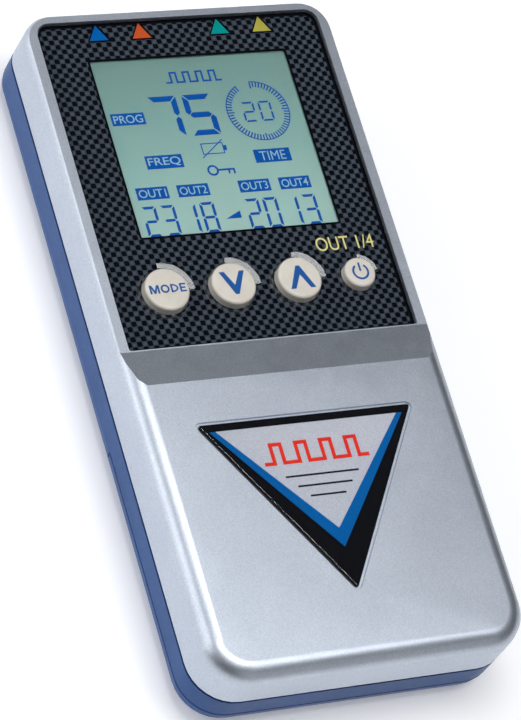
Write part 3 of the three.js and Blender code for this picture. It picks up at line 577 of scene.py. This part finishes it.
def curve_mesh(curve, z):
    """The closed solid that a flat extruded curve stands for, lifted to height z."""
    holder = scene_object("outline", curve)
    holder.location.z = z
    bpy.context.view_layer.update()
    depsgraph = bpy.context.evaluated_depsgraph_get()
    mesh = bpy.data.meshes.new_from_object(holder.evaluated_get(depsgraph))
    mesh.transform(holder.matrix_world)
    bpy.data.objects.remove(holder)
    bpy.data.curves.remove(curve)
    with edited(mesh) as work:
        bmesh.ops.remove_doubles(work, verts=work.verts, dist=1e-7)
    return mesh


def sheet(loops, z0, z1):
    """A flat solid from z0 to z1 inside each loop, less the loops that lie inside another."""
    curve = bpy.data.curves.new("outline", "CURVE")
    curve.dimensions = "2D"
    curve.fill_mode = "BOTH"
    curve.extrude = (z1 - z0) / 2
    for loop in loops:
        spline = curve.splines.new("POLY")
        spline.points.add(len(loop) - 1)
        for point, (x, y) in zip(spline.points, loop):
            point.co = (x, y, 0, 1)
        spline.use_cyclic_u = True
    return curve_mesh(curve, (z0 + z1) / 2)


def letters(text, x, y, width, height, z0, z1, weight=0.0):
    """Plain capitals or digits centred on x, y, of the whole width and height, fattened by weight."""
    curve = bpy.data.curves.new("letters", "FONT")
    curve.body = text
    curve.align_x = "CENTER"
    curve.size = 1
    curve.offset = weight
    curve.extrude = 0.01
    mesh = curve_mesh(curve, 0)
    lows = [min(v.co[axis] for v in mesh.vertices) for axis in range(3)]
    highs = [max(v.co[axis] for v in mesh.vertices) for axis in range(3)]
    grow_x = width / (highs[0] - lows[0])
    grow_y = height / (highs[1] - lows[1])
    for vertex in mesh.vertices:
        vertex.co.x = x + (vertex.co.x - (lows[0] + highs[0]) / 2) * grow_x
        vertex.co.y = y + (vertex.co.y - (lows[1] + highs[1]) / 2) * grow_y
        vertex.co.z = z1 if vertex.co.z > 0 else z0
    return mesh


def joined(meshes):
    """One mesh out of several."""
    whole = bpy.data.meshes.new("joined")
    with edited(whole) as work:
        for mesh in meshes:
            work.from_mesh(mesh)
            bpy.data.meshes.remove(mesh)
    return whole


def lofted(rings, close_low=True, close_high=True):
    """A mesh through rings of equally many points, upwards, closed by flat ends where asked."""
    mesh = bpy.data.meshes.new("lofted")
    with edited(mesh) as work:
        levels = [[work.verts.new(point) for point in ring] for ring in rings]
        count = len(rings[0])
        for low, high in zip(levels, levels[1:]):
            for i in range(count):
                after = (i + 1) % count
                work.faces.new((low[i], low[after], high[after], high[i]))
        if close_low:
            work.faces.new(list(reversed(levels[0])))
        if close_high:
            work.faces.new(levels[-1])
    return mesh


def turned(x, y, profile, closed=True):
    """A mesh turned about an upright axis at x, y, from a profile of (radius, z), upwards."""
    rings = [[(px, py, z) for px, py in circle(x, y, radius)] for radius, z in profile]
    return lofted(rings, closed, closed)


def cap_centre(name):
    low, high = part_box("button_" + name)
    return (low.x + high.x) / 2, (low.y + high.y) / 2


def cap_radius(name):
    low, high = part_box("button_" + name)
    return (high.x - low.x) / 2 - CAP_FLANGE


# ---- CAD nodes: finish and shading ----
def crease(mesh, is_flat):
    """Marks sharp the edges round the faces that is_flat picks, although they turn only gently."""

    def ends(edge):
        corners = (mesh.vertices[index].co for index in edge.vertices)
        return frozenset(tuple(round(part, 7) for part in corner) for corner in corners)

    creased = set()
    for face in mesh.polygons:
        if is_flat(face):
            edges = (mesh.edges[mesh.loops[loop].edge_index] for loop in face.loop_indices)
            creased.update(ends(edge) for edge in edges)
    for edge in mesh.edges:
        if ends(edge) in creased:
            edge.use_edge_sharp = True


def on_ramp(face):
    """True for the faces of the plane between the lower deck and the window's level."""
    return 0.15 < face.normal.y < 0.24 and face.normal.z > 0.96


def dress_cad_nodes():
    """Gives every CAD node its finish, joins its facets and shades its gentle turns smooth."""
    slots = {}
    for entry in frame["record"]["materials"]:
        for name in entry.get("nodes", []):
            slots[name] = entry["slot"]
    for name, obj in frame["nodes"].items():
        slot = slots.get(name, obj.material_slots[0].material.name.split(".")[0])
        obj.material_slots[0].material = NODE_FINISH.get(name, SLOT_FINISH[slot])
        custom = obj.data.attributes.get("custom_normal")
        if custom:
            obj.data.attributes.remove(custom)
        obj.data.shade_smooth()
        if name == "front_shell":
            crease(obj.data, on_ramp)
        weld = obj.modifiers.new("weld", "WELD")
        weld.merge_threshold = 1e-6
        split = obj.modifiers.new("sharp_edges", "EDGE_SPLIT")
        split.split_angle = math.radians(32)
        even_shading(obj)


# ---- Window ----
def panel_outline(inset=0.0):
    """The window's outline, moved inwards by inset."""
    return rounded_rectangle(
        PANEL_LOW.x + inset,
        PANEL_LOW.y + inset,
        PANEL_HIGH.x - inset,
        PANEL_HIGH.y - inset,
        max(PANEL_LOW_RADIUS - inset, PANEL_LEAST_RADIUS),
        PANEL_HIGH_RADIUS - inset,
    )


def button_hole_radius(name):
    return cap_radius(name) + CAP_CLEARANCE


def button_holes():
    return [circle(*cap_centre(name), button_hole_radius(name)) for name in DISH_WIDTHS]


def flat_face(loops, z, down=False):
    """One flat face with holes at height z, as a mesh."""
    mesh = sheet(loops, z, z + 1e-9)
    with edited(mesh) as work:
        bmesh.ops.remove_doubles(work, verts=work.verts, dist=1e-6)
        bmesh.ops.recalc_face_normals(work, faces=work.faces)
        for face in work.faces:
            if (face.normal.z < 0) != down:
                face.normal_flip()
    for vertex in mesh.vertices:
        vertex.co.z = z
    return mesh


def dish_profile(name, top, bottom):
    """A button's dish and the wall of its hole, from the rim down, as (radius, z)."""
    hole = button_hole_radius(name)
    foot = hole + DISH_FOOT
    rim = cap_radius(name) + DISH_WIDTHS[name]
    floor_z = top - DISH_SLOPE * (rim - foot)
    return [
        (rim + DISH_BEND, top),
        (rim, top - BEND_SAG),
        (rim - DISH_BEND, top - DISH_BEND * DISH_SLOPE),
        (foot + DISH_BEND, floor_z + DISH_BEND * DISH_SLOPE),
        (foot, floor_z + BEND_SAG),
        (foot - DISH_BEND, floor_z),
        (hole + DISH_BEND / 2, floor_z),
        (hole, floor_z - DISH_BEND / 2),
        (hole, bottom),
    ]


def window_glass():
    """The clear plate with a shallow dish round each button."""
    top = PANEL_HIGH.z
    bottom = PANEL_LOW.z + FILM_THICKNESS / 2
    rims = []
    dishes = []
    for name in DISH_WIDTHS:
        x, y = cap_centre(name)
        profile = dish_profile(name, top, bottom)
        rims.append(circle(x, y, profile[0][0]))
        dishes.append(turned(x, y, profile[::-1], closed=False))
    outer_levels = ((0, bottom), (0, top - PANEL_CHAMFER), (PANEL_CHAMFER, top))
    outer_rings = [[(x, y, z) for x, y in panel_outline(inset)] for inset, z in outer_levels]
    mesh = joined(
        [
            flat_face([panel_outline(PANEL_CHAMFER), *rims], top),
            flat_face([panel_outline(), *button_holes()], bottom, down=True),
            lofted(outer_rings, close_low=False, close_high=False),
            *dishes,
        ]
    )
    with edited(mesh) as work:
        bmesh.ops.remove_doubles(work, verts=work.verts, dist=2e-7)
        bmesh.ops.recalc_face_normals(work, faces=work.faces)
    clear = clear_plastic("clear_window", 0.03, 4 * MM)
    glass = placed(mesh, "window_glass", "case", clear, 20)
    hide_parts("window_panel")


def aperture_outline(grow=0.0):
    """The outline of the film's clear part, moved outwards by grow."""
    x0, y0, x1, y1 = APERTURE
    corner = APERTURE_CORNER + grow
    return rounded_rectangle(x0 - grow, y0 - grow, x1 + grow, y1 + grow, corner, corner, 3)


def triangle(x, base_y, width, height):
    return [(x - width / 2, base_y), (x + width / 2, base_y), (x, base_y + height)]


def window_print():
    """The film's printed layers: weave, black border lines, output triangles and their label."""
    bottom = PANEL_LOW.z
    top = bottom + FILM_THICKNESS
    black = ink("print_black", PRINT_BLACK, 0.3)

    def film(name, loops, high_z, look):
        placed(sheet(loops, bottom, high_z), name, "case", look)

    border = panel_outline(FILM_BORDER)
    outside = panel_outline(FILM_INSET)
    weave = [border, aperture_outline(APERTURE_BORDER), *button_holes()]
    film("weave_film", weave, top, SLOT_FINISH["printed_acrylic"])
    film("film_border", [outside, border], top, black)
    painted = [outside, panel_outline(EDGE_PAINT_WIDTH)]
    film("painted_edge", painted, PANEL_HIGH.z - EDGE_PAINT_DROP, black)
    film("display_border", [aperture_outline(APERTURE_BORDER), aperture_outline()], top, black)
    output_marks(top, black)


def output_marks(film_top, black):
    """A coloured triangle below each output socket, over a black one, and the outputs' label."""
    black_top = film_top + 0.01 * MM
    mark_top = film_top + 0.02 * MM
    base_y = PANEL_HIGH.y - TRIANGLE_DROP
    for jack, colour in TRIANGLE_COLOURS.items():
        low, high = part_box(jack)
        x = (low.x + high.x) / 2 + TRIANGLE_X
        shade = triangle(x + SHADE_SHIFT[0], base_y + SHADE_SHIFT[1], *SHADE_SIZE)
        shade_mesh = sheet([shade], film_top, black_top)
        placed(shade_mesh, jack + "_mark_edge", "case", black)
        mark_mesh = sheet([triangle(x, base_y, *TRIANGLE_SIZE)], film_top, mark_top)
        look = ink(jack + "_colour", colour)
        placed(mark_mesh, jack + "_mark", "case", look)
    power_x, power_y = cap_centre("power")
    label_x, label_y = power_x - 0.5 * MM, power_y + 8.1 * MM
    label = letters("OUT 1/4", label_x, label_y, 13.4 * MM, 3.2 * MM, film_top, mark_top)
    placed(label, "output_label", "case", ink("label_yellow", PALE_YELLOW))


# ---- Display ----
DISPLAY_TOP = GLASS_HIGH.z
INK_Z = (DISPLAY_TOP, DISPLAY_TOP + 0.02 * MM)
LETTER_Z = (INK_Z[1], DISPLAY_TOP + 0.035 * MM)
THIN_LINE = 0.22 * MM
DIAL_TICKS = 56
TICK_TURN = 6  # degrees from tick to tick
DIAL_START = 91  # the first tick's angle; the ring runs clockwise from it
LIT_SEGMENTS = {
    "0": "abcdef",
    "1": "bc",
    "2": "abged",
    "3": "abgcd",
    "5": "afgcd",
    "7": "abc",
    "8": "abcdefg",
}
# Each boxed caption's text, corner u, v, width and height, and its word's width, in millimetres.
CAPTIONS = (
    ("PROG", 1.2, 12.7, 7.6, 2.9, 6.6),
    ("FREQ", 6.05, 23.3, 8.4, 3.2, 7.4),
    ("TIME", 31.0, 23.6, 8.4, 3.2, 6.0),
    ("OUT1", 1.9, 30.7, 7.2, 2.9, 6.2),
    ("OUT2", 11.2, 30.7, 7.2, 2.9, 6.2),
    ("OUT3", 25.3, 30.7, 7.2, 2.9, 6.2),
    ("OUT4", 34.7, 30.7, 7.2, 2.9, 6.2),
)


def spot(u, v):
    """A place on the display, in metres, from millimetres right of and below its visible corner."""
    return APERTURE[0] + u * MM, APERTURE[3] - v * MM


def segment_outlines(digit, u, v, width, height, thick, gap=0.12):
    """The lit strokes, thick millimetres wide, of a seven-segment digit whose upper left corner is
    at u, v."""
    half = height / 2
    bar = thick / 2
    cut = thick + gap
    shapes = []
    for name in LIT_SEGMENTS[digit]:
        if name in "ad":
            near, far = (0, thick) if name == "a" else (height, height - thick)
            ends = (gap * 2, width - gap * 2)
            shapes.append([(ends[0], near), (ends[1], near), (width - cut, far), (cut, far)])
        elif name == "g":
            mid = half - bar
            shapes.append(
                [
                    (bar + gap, mid + bar),
                    (cut, mid),
                    (width - cut, mid),
                    (width - bar - gap, mid + bar),
                    (width - cut, mid + thick),
                    (cut, mid + thick),
                ]
            )
        else:
            outside, inside = (0, thick) if name in "ef" else (width, width - thick)
            middle = (outside + inside) / 2
            upper = name in "bf"
            start, end = (gap * 2, half - gap) if upper else (height - gap * 2, half + gap)
            toward = 1 if upper else -1
            shapes.append(
                [
                    (outside, start),
                    (inside, start + toward * thick),
                    (inside, end - toward * bar),
                    (middle, end),
                    (outside, end - toward * bar),
                ]
            )
    return [[spot(u + x, v + y) for x, y in shape] for shape in shapes]


def number(text, u, v, width, height, pitch, thick):
    """A row of seven-segment digits, pitch millimetres apart."""
    outlines = []
    for index, digit in enumerate(text):
        outlines += segment_outlines(digit, u + index * pitch, v, width, height, thick)
    return outlines


def level(text, u, pitch):
    """The two digits of one output's level, on the display's last line."""
    return number(text, u, 35.2, 3.3, 7.2, pitch, 0.62)


def dial(u, v, radius):
    """A ring of minute ticks with a short gap, inside a thin line."""
    x, y = spot(u, v)
    outer = radius - THIN_LINE
    outlines = [arc_band(x, y, radius, outer, -242, DIAL_START, 84)]
    for tick in range(DIAL_TICKS):
        turn = math.radians(DIAL_START - tick * TICK_TURN)
        is_quarter = tick % 15 == 0
        inner = radius - (1.75 if is_quarter else 1.4) * MM
        ends = [(x + r * math.cos(turn), y + r * math.sin(turn)) for r in (inner, outer)]
        outlines.append(stroke(ends, 0.3 * MM))
    return outlines


def battery_icon(u, v):
    """The outline of a cell with its button end."""
    x, y = spot(u, v)
    end_x, low_y = x + 5.1 * MM, y - 2.7 * MM
    body = rectangle(x, low_y, end_x, y)
    inside = rectangle(x + THIN_LINE, low_y + THIN_LINE, end_x - THIN_LINE, y - THIN_LINE)
    nub = rectangle(end_x, y - 1.95 * MM, x + 5.75 * MM, y - 0.75 * MM)
    return [[body, inside], [nub]]


def key_icon(u, v):
    """A key: ring bow, and a shaft with two teeth."""
    x, y = spot(u, v)
    corners = (
        (1.28, -0.2),
        (3.4, -0.2),
        (3.4, -1.0),
        (3.8, -1.0),
        (3.8, -0.2),
        (4.6, -0.2),
        (4.6, -1.1),
        (5.0, -1.1),
        (5.0, 0.25),
        (1.28, 0.25),
    )
    shaft = [(x + right * MM, y + rise * MM) for right, rise in corners]
    return [[circle(x, y, 1.3 * MM, 40), circle(x, y, 0.85 * MM, 40)], [shaft]]


def pulse_trace(u, v):
    """A plain row of pulses above the digits."""
    x, y = spot(u, v)
    return [stroke(pulse_points(x, y, 3 * MM, 1.3 * MM, 2.4 * MM, 4), 0.42 * MM)]


def display():
    """Segments, boxed captions and icons, as dark blue ink on the display glass."""
    ink_outlines = {
        "program_digits": number("75", 10.5, 9.2, 6.6, 10, 8.0, 1.3),
        "timer_digits": number("20", 31.5, 11.9, 2.95, 4.9, 3.95, 0.42),
        "level_1_digits": level("23", 1.9, 4.2),
        "level_2_digits": level("18", 10.8, 4.3),
        "level_3_digits": level("20", 25.4, 4.2),
        "level_4_digits": level("13", 34.3, 4.3),
        "timer_dial": dial(35.1, 14.2, 7.3 * MM),
        "battery_icon": battery_icon(19.5, 21.2),
        "key_icon": key_icon(20.6, 27.8),
        "ramp_icon": [[spot(20.2, 39.5), spot(23.8, 39.5), spot(23.8, 37.8)]],
        "pulse_icon": pulse_trace(17.4, 6.0),
    }
    look = ink("segment_ink", SEGMENT_BLUE, 0.3)
    for name, outlines in ink_outlines.items():
        loops = [item if isinstance(item[0], list) else [item] for item in outlines]
        mesh = joined([sheet(group, *INK_Z) for group in loops])
        placed(mesh, name, "case", look)

    slash = stroke((spot(19.2, 24.7), spot(24.7, 20.5)), THIN_LINE)
    placed(sheet([slash], *LETTER_Z), "battery_slash", "case", look)

    pale = ink("caption_ground", srgb(112, 146, 160), 0.3)
    for text, u, v, width, height, word_width in CAPTIONS:
        low_x, low_y = spot(u, v + height)
        high_x, high_y = spot(u + width, v)
        plate = rectangle(low_x, low_y, high_x, high_y)
        placed(sheet([plate], *INK_Z), text.lower() + "_box", "case", look)
        x, y = (low_x + high_x) / 2, (low_y + high_y) / 2
        # The font's M breaks up when it is fattened.
        weight = 0 if "M" in text else 0.008
        word = letters(text, x, y, word_width * MM, (height - 1.0) * MM, *LETTER_Z, weight)
        placed(word, text.lower() + "_caption", "case", pale)


# ---- Buttons ----
def cap_profile(name):
    """A cap from its flange's underside up to its crown, as (radius, z)."""
    low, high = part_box("button_" + name)
    radius = cap_radius(name)
    flange_top = SHELL_TOP - FLANGE_DROP
    flat = radius - CAP_EDGE
    flange = [(radius + CAP_FLANGE, low.z), (radius + CAP_FLANGE, flange_top)]
    edge = arc(flat, high.z - CAP_CROWN - CAP_EDGE, CAP_EDGE, 0, 90, 8)
    shares = (0.75, 0.5, 0.25, 0.02)
    crown = [(flat * share, high.z - CAP_CROWN * share * share) for share in shares]
    return [*flange, (radius, flange_top), *edge, *crown]


def button_caps():
    """The four caps, each riding on its own key."""
    ivory = SLOT_FINISH["ivory_plastic"]
    for name in DISH_WIDTHS:
        mesh = turned(*cap_centre(name), cap_profile(name))
        cap = placed(mesh, "cap_" + name, "key_" + name, ivory, 50)
        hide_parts("button_" + name)


def chevron(x, y, up):
    """The outline of a bold arrowhead centred on x, y: a V, or the same upside down."""
    side = 1 if up else -1
    half_width, half_height = ARROW_SIZE[0] / 2, ARROW_SIZE[1] / 2
    foot_width = 1.15 * ARROW_STROKE
    half_tip = 0.42 * ARROW_STROKE
    foot = y - side * half_height
    tip = y + side * half_height
    return [
        (x - half_width, foot),
        (x - half_width + foot_width, foot),
        (x, tip - side * 2.1 * ARROW_STROKE),
        (x + half_width - foot_width, foot),
        (x + half_width, foot),
        (x + half_tip, tip),
        (x - half_tip, tip),
    ]


def bold_m(width, tall, stem):
    """The outline of an M with its lower left corner at 0, 0, mirrored about its middle."""
    middle = width / 2
    left = [
        (middle, 0.36 * tall),
        (1.3 * stem, tall),
        (0, tall),
        (0, 0),
        (stem, 0),
        (stem, 0.68 * tall),
        (middle - 0.45 * stem, 0),
    ]
    return [[*left, *((width - x, y) for x, y in reversed(left[1:]))]]


def bold_e(width, tall, stem):
    """The outline of an E with its lower left corner at 0, 0, mirrored about its middle bar."""
    bar = 0.85 * stem
    lower = [(0, 0), (width, 0), (width, bar), (stem, bar)]
    lower += [(stem, (tall - bar) / 2), (0.9 * width, (tall - bar) / 2)]
    return [[*lower, *((x, tall - y) for x, y in reversed(lower))]]


def bold_o(width, tall, stem):
    """The outer and inner outlines of an O with its lower left corner at 0, 0."""
    x, y = width / 2, tall / 2
    return [arc(x, y, x - inset, -180, 180, 25, y - inset)[:-1] for inset in (0, stem)]


def bold_d(width, tall, stem):
    """The outer and inner outlines of a D with its lower left corner at 0, 0."""
    y = tall / 2
    return [arc(inset, y, width - 2 * inset, -90, 90, 25, y - inset) for inset in (0, stem)]


def mode_word(x, y, levels):
    """The word MODE in even bold capitals, centred on x, y."""
    pen_x = x - (sum(MODE_WIDTHS.values()) + 3 * MODE_GAP) / 2
    low_y = y - MODE_HEIGHT / 2
    meshes = []
    for outlines, width in zip((bold_m, bold_o, bold_d, bold_e), MODE_WIDTHS.values()):
        loops = outlines(width, MODE_HEIGHT, MODE_STEM)
        set_down = [[(pen_x + px, low_y + py) for px, py in loop] for loop in loops]
        meshes.append(sheet(set_down, *levels))
        pen_x += width + MODE_GAP
    return joined(meshes)


def button_marks():
    """The printed legends on the caps."""
    look = ink("legend_ink", LEGEND_BLUE, 0.35, 0.5)
    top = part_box("button_mode")[1].z
    levels = (top - 1.5 * CAP_CROWN, top + LEGEND_THICKNESS)
    x, y = cap_centre("power")
    ring = arc_band(x, y, 1.9 * MM, 1.45 * MM, -235, 55, 48)
    bar = rectangle(x - 0.22 * MM, y + 0.1 * MM, x + 0.22 * MM, y + 2.1 * MM)
    marks = {
        "mode": mode_word(*cap_centre("mode"), levels),
        "down": sheet([chevron(*cap_centre("down"), up=False)], *levels),
        "up": sheet([chevron(*cap_centre("up"), up=True)], *levels),
        "power": joined([sheet([ring], *levels), sheet([bar], *levels)]),
    }
    for name, mesh in marks.items():
        placed(mesh, "legend_" + name, "key_" + name, look)


# ---- Badge ----
def triangle_ring(left, right, apex, radius, inset=0.0, steps=8):
    """The outline of a round-cornered triangle pointing down, moved inwards by inset."""
    corners = [Vector(left), Vector(apex), Vector(right)]
    points = []
    for i, corner in enumerate(corners):
        before = (corners[i - 1] - corner).normalized()
        after = (corners[(i + 1) % 3] - corner).normalized()
        half = before.angle(after) / 2
        bisector = (before + after).normalized()
        kept = max(radius - inset, 0.04 * MM)
        centre = corner + bisector * ((inset + kept) / math.sin(half))
        start = math.degrees(math.atan2(before.x, -before.y))
        sweep = 180 - math.degrees(2 * half)
        points += arc(centre.x, centre.y, kept, start, start + sweep, steps)
    return points


def badge_corners():
    """The sharp corners of the badge's outline: its box holds it with those corners rounded."""
    centre_x = (BADGE_LOW.x + BADGE_HIGH.x) / 2
    half = (BADGE_HIGH.x - BADGE_LOW.x) / 2
    height = BADGE_HIGH.y - BADGE_LOW.y
    side_half_angle = math.atan2(height, half) / 2
    apex_half_angle = math.atan2(half, height)
    spare_x = BADGE_CORNER * (1 / math.tan(side_half_angle) - 1)
    spare_y = BADGE_CORNER * (1 / math.sin(apex_half_angle) - 1)
    left = (centre_x - half - spare_x, BADGE_HIGH.y)
    right = (centre_x + half + spare_x, BADGE_HIGH.y)
    apex = (centre_x, BADGE_LOW.y - spare_y)
    return left, right, apex


def badge_label():
    """The label under the dome: nested black, blue and silver fields, and its print."""
    left, right, apex = badge_corners()
    centre_x = apex[0]
    low_z = BADGE_LOW.z + LABEL_GAP
    bar_y = BADGE_HIGH.y - LABEL_TOP_BAR
    outlines = {"black": triangle_ring(left, right, apex, BADGE_CORNER, LABEL_GAP)}
    for name, (side_inset, apex_lift) in LABEL_FIELDS.items():
        reach = (BADGE_HIGH.x - BADGE_LOW.x) / 2 - side_inset
        corners = ((centre_x - reach, bar_y), (centre_x + reach, bar_y))
        outlines[name] = triangle_ring(*corners, (centre_x, BADGE_LOW.y + apex_lift), LABEL_CORNER)
    looks = (
        SLOT_FINISH["badge_resin"],
        ink("label_blue", LABEL_BLUE),
        ink("label_silver", LABEL_SILVER, 0.3),
    )
    for layer, (name, look) in enumerate(zip(outlines, looks), 1):
        mesh = sheet([outlines[name]], low_z, low_z + layer * LABEL_LAYER)
        placed(mesh, "label_" + name, "case", look)
    print_z = low_z + 3 * LABEL_LAYER
    label_print(centre_x, bar_y - TRACE_DROP, (print_z, print_z + LABEL_LAYER))


def label_print(x, y, levels):
    """The label's plain row of pulses, whose foot is at height y, and three rulings below it."""
    pulses = pulse_points(x - 9.6 * MM, y, 5.6 * MM, 2.2 * MM, 4.2 * MM, 4)
    trace = sheet([stroke(pulses, 0.8 * MM)], *levels)
    placed(trace, "badge_trace", "case", ink("trace_red", srgb(196, 46, 34)))
    rulings = []
    for row in range(3):
        row_y = y - (3.2 + row * 2.3) * MM
        reach = (8.2 - row * 2.1) * MM
        rulings.append(stroke([(x - reach, row_y), (x + reach, row_y)], 0.42 * MM))
    lines = joined([sheet([outline], *levels) for outline in rulings])
    placed(lines, "badge_rulings", "case", ink("trace_dark", srgb(30, 32, 38)))


def badge_dome():
    """The clear resin dome over the label, rounded along its edge."""
    left, right, apex = badge_corners()
    bottom = BADGE_LOW.z + LABEL_GAP + 0.01 * MM
    foot = SHELL_TOP + DOME_LIFT
    wall = [(0.0, bottom), (0.0, SHELL_TOP)]
    edge = arc(DOME_EDGE, foot, DOME_EDGE, 180, 90, 8, BADGE_HIGH.z - foot)
    rings = []
    for inset, z in (*wall, *edge):
        rings.append([(x, y, z) for x, y in triangle_ring(left, right, apex, BADGE_CORNER, inset)])
    clear = clear_plastic("clear_dome", 0.02, 6 * MM)
    dome = placed(lofted(rings), "badge_dome", "case", clear, 60)
    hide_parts("badge")


# ---- Studio ----
def studio_floor():
    """A thin sheet of pale paper just under the object."""
    half = FLOOR_HALF
    outline = rounded_rectangle(-half, -half, half, half, FLOOR_CORNER, FLOOR_CORNER)
    mesh = lofted([[(x, y, z) for x, y in outline] for z in FLOOR_LEVELS])
    mesh.materials.append(floor_finish())
    floor = scene_object("studio_floor", mesh)


def softbox(name, direction, across, wide, high, distance, radiance):
    """A rectangular light in the direction, facing the model's middle, from which it looks wide
    degrees along the way across and high degrees the other way."""
    light = bpy.data.lights.new(name, "AREA")
    light.shape = "RECTANGLE"
    light.size = 2 * distance * math.tan(math.radians(wide / 2))
    light.size_y = 2 * distance * math.tan(math.radians(high / 2))
    light.energy = radiance * math.pi * light.size * light.size_y
    obj = scene_object(name, light)
    back = Vector(direction).normalized()
    right = (Vector(across) - back * back.dot(Vector(across))).normalized()
    up = back.cross(right)
    obj.location = back * distance + Vector((0, 0, SHELL_TOP))
    obj.rotation_euler = Matrix((right, up, back)).transposed().to_euler()


def overhead_sky(direction, angle, strength):
    """A broad even light from far away, which lights the object and the whole floor."""
    light = bpy.data.lights.new("overhead", "SUN")
    light.angle = math.radians(angle)
    light.energy = strength
    obj = scene_object("overhead", light)
    obj.location = Vector(direction)
    obj.rotation_euler = Vector(direction).to_track_quat("Z", "Y").to_euler()


def surroundings(colour, strength, seen):
    """A dim even room; the camera sees it as a pale backdrop."""
    world = bpy.data.worlds.new("studio")
    bpy.context.scene.world = world
    world.use_nodes = True
    tree = world.node_tree
    room = tree.nodes["Background"]
    room.inputs["Color"].default_value = (*colour, 1)
    room.inputs["Strength"].default_value = strength
    backdrop = node(tree, "Background", {"Color": (*colour, 1), "Strength": seen})
    chooser = node(tree, "MixShader", {"Fac": node(tree, "LightPath", {}).outputs["Is Camera Ray"]})
    tree.links.new(room.outputs["Background"], chooser.inputs[1])
    tree.links.new(backdrop.outputs["Background"], chooser.inputs[2])
    tree.links.new(chooser.outputs["Shader"], tree.nodes["World Output"].inputs["Surface"])


def studio_lights():
    """A narrow box overhead, whose image makes the crescents in the dishes, a broad box for the
    left walls, a weak one in front, an even sky and a dim room."""
    overhead_sky(direction=(0.0, -0.05, 1.0), angle=50, strength=0.36)
    softbox("overhead_box", (0.06, 0.06, 1.0), (1, -1, 0), 46, 17, distance=0.9, radiance=8.4)
    softbox("left_box", (-0.78, 0.42, 0.36), (0.4, 0.78, 0), 50, 44, distance=2.5, radiance=2.2)
    softbox("front_box", (0.25, -0.85, 0.42), (1, 0, 0), 45, 30, distance=2.5, radiance=0.6)
    surroundings(colour=(0.93, 0.96, 1.0), strength=0.045, seen=0.95)


def studio_camera():
    camera = bpy.data.cameras.new("camera")
    camera.sensor_width = 36
    camera.lens = CAMERA_LENS
    obj = scene_object("camera", camera)
    obj.location = CAMERA_PLACE
    right = Vector(CAMERA_RIGHT)
    up = Vector(CAMERA_UP)
    back = right.cross(up)
    obj.rotation_euler = Matrix((right, up, back)).transposed().to_euler()
    bpy.context.scene.camera = obj


dress_cad_nodes()
window_glass()
window_print()
display()
button_caps()
button_marks()
badge_label()
badge_dome()
studio_floor()
studio_lights()
studio_camera()
bpy.context.scene.view_settings.view_transform = "Standard"
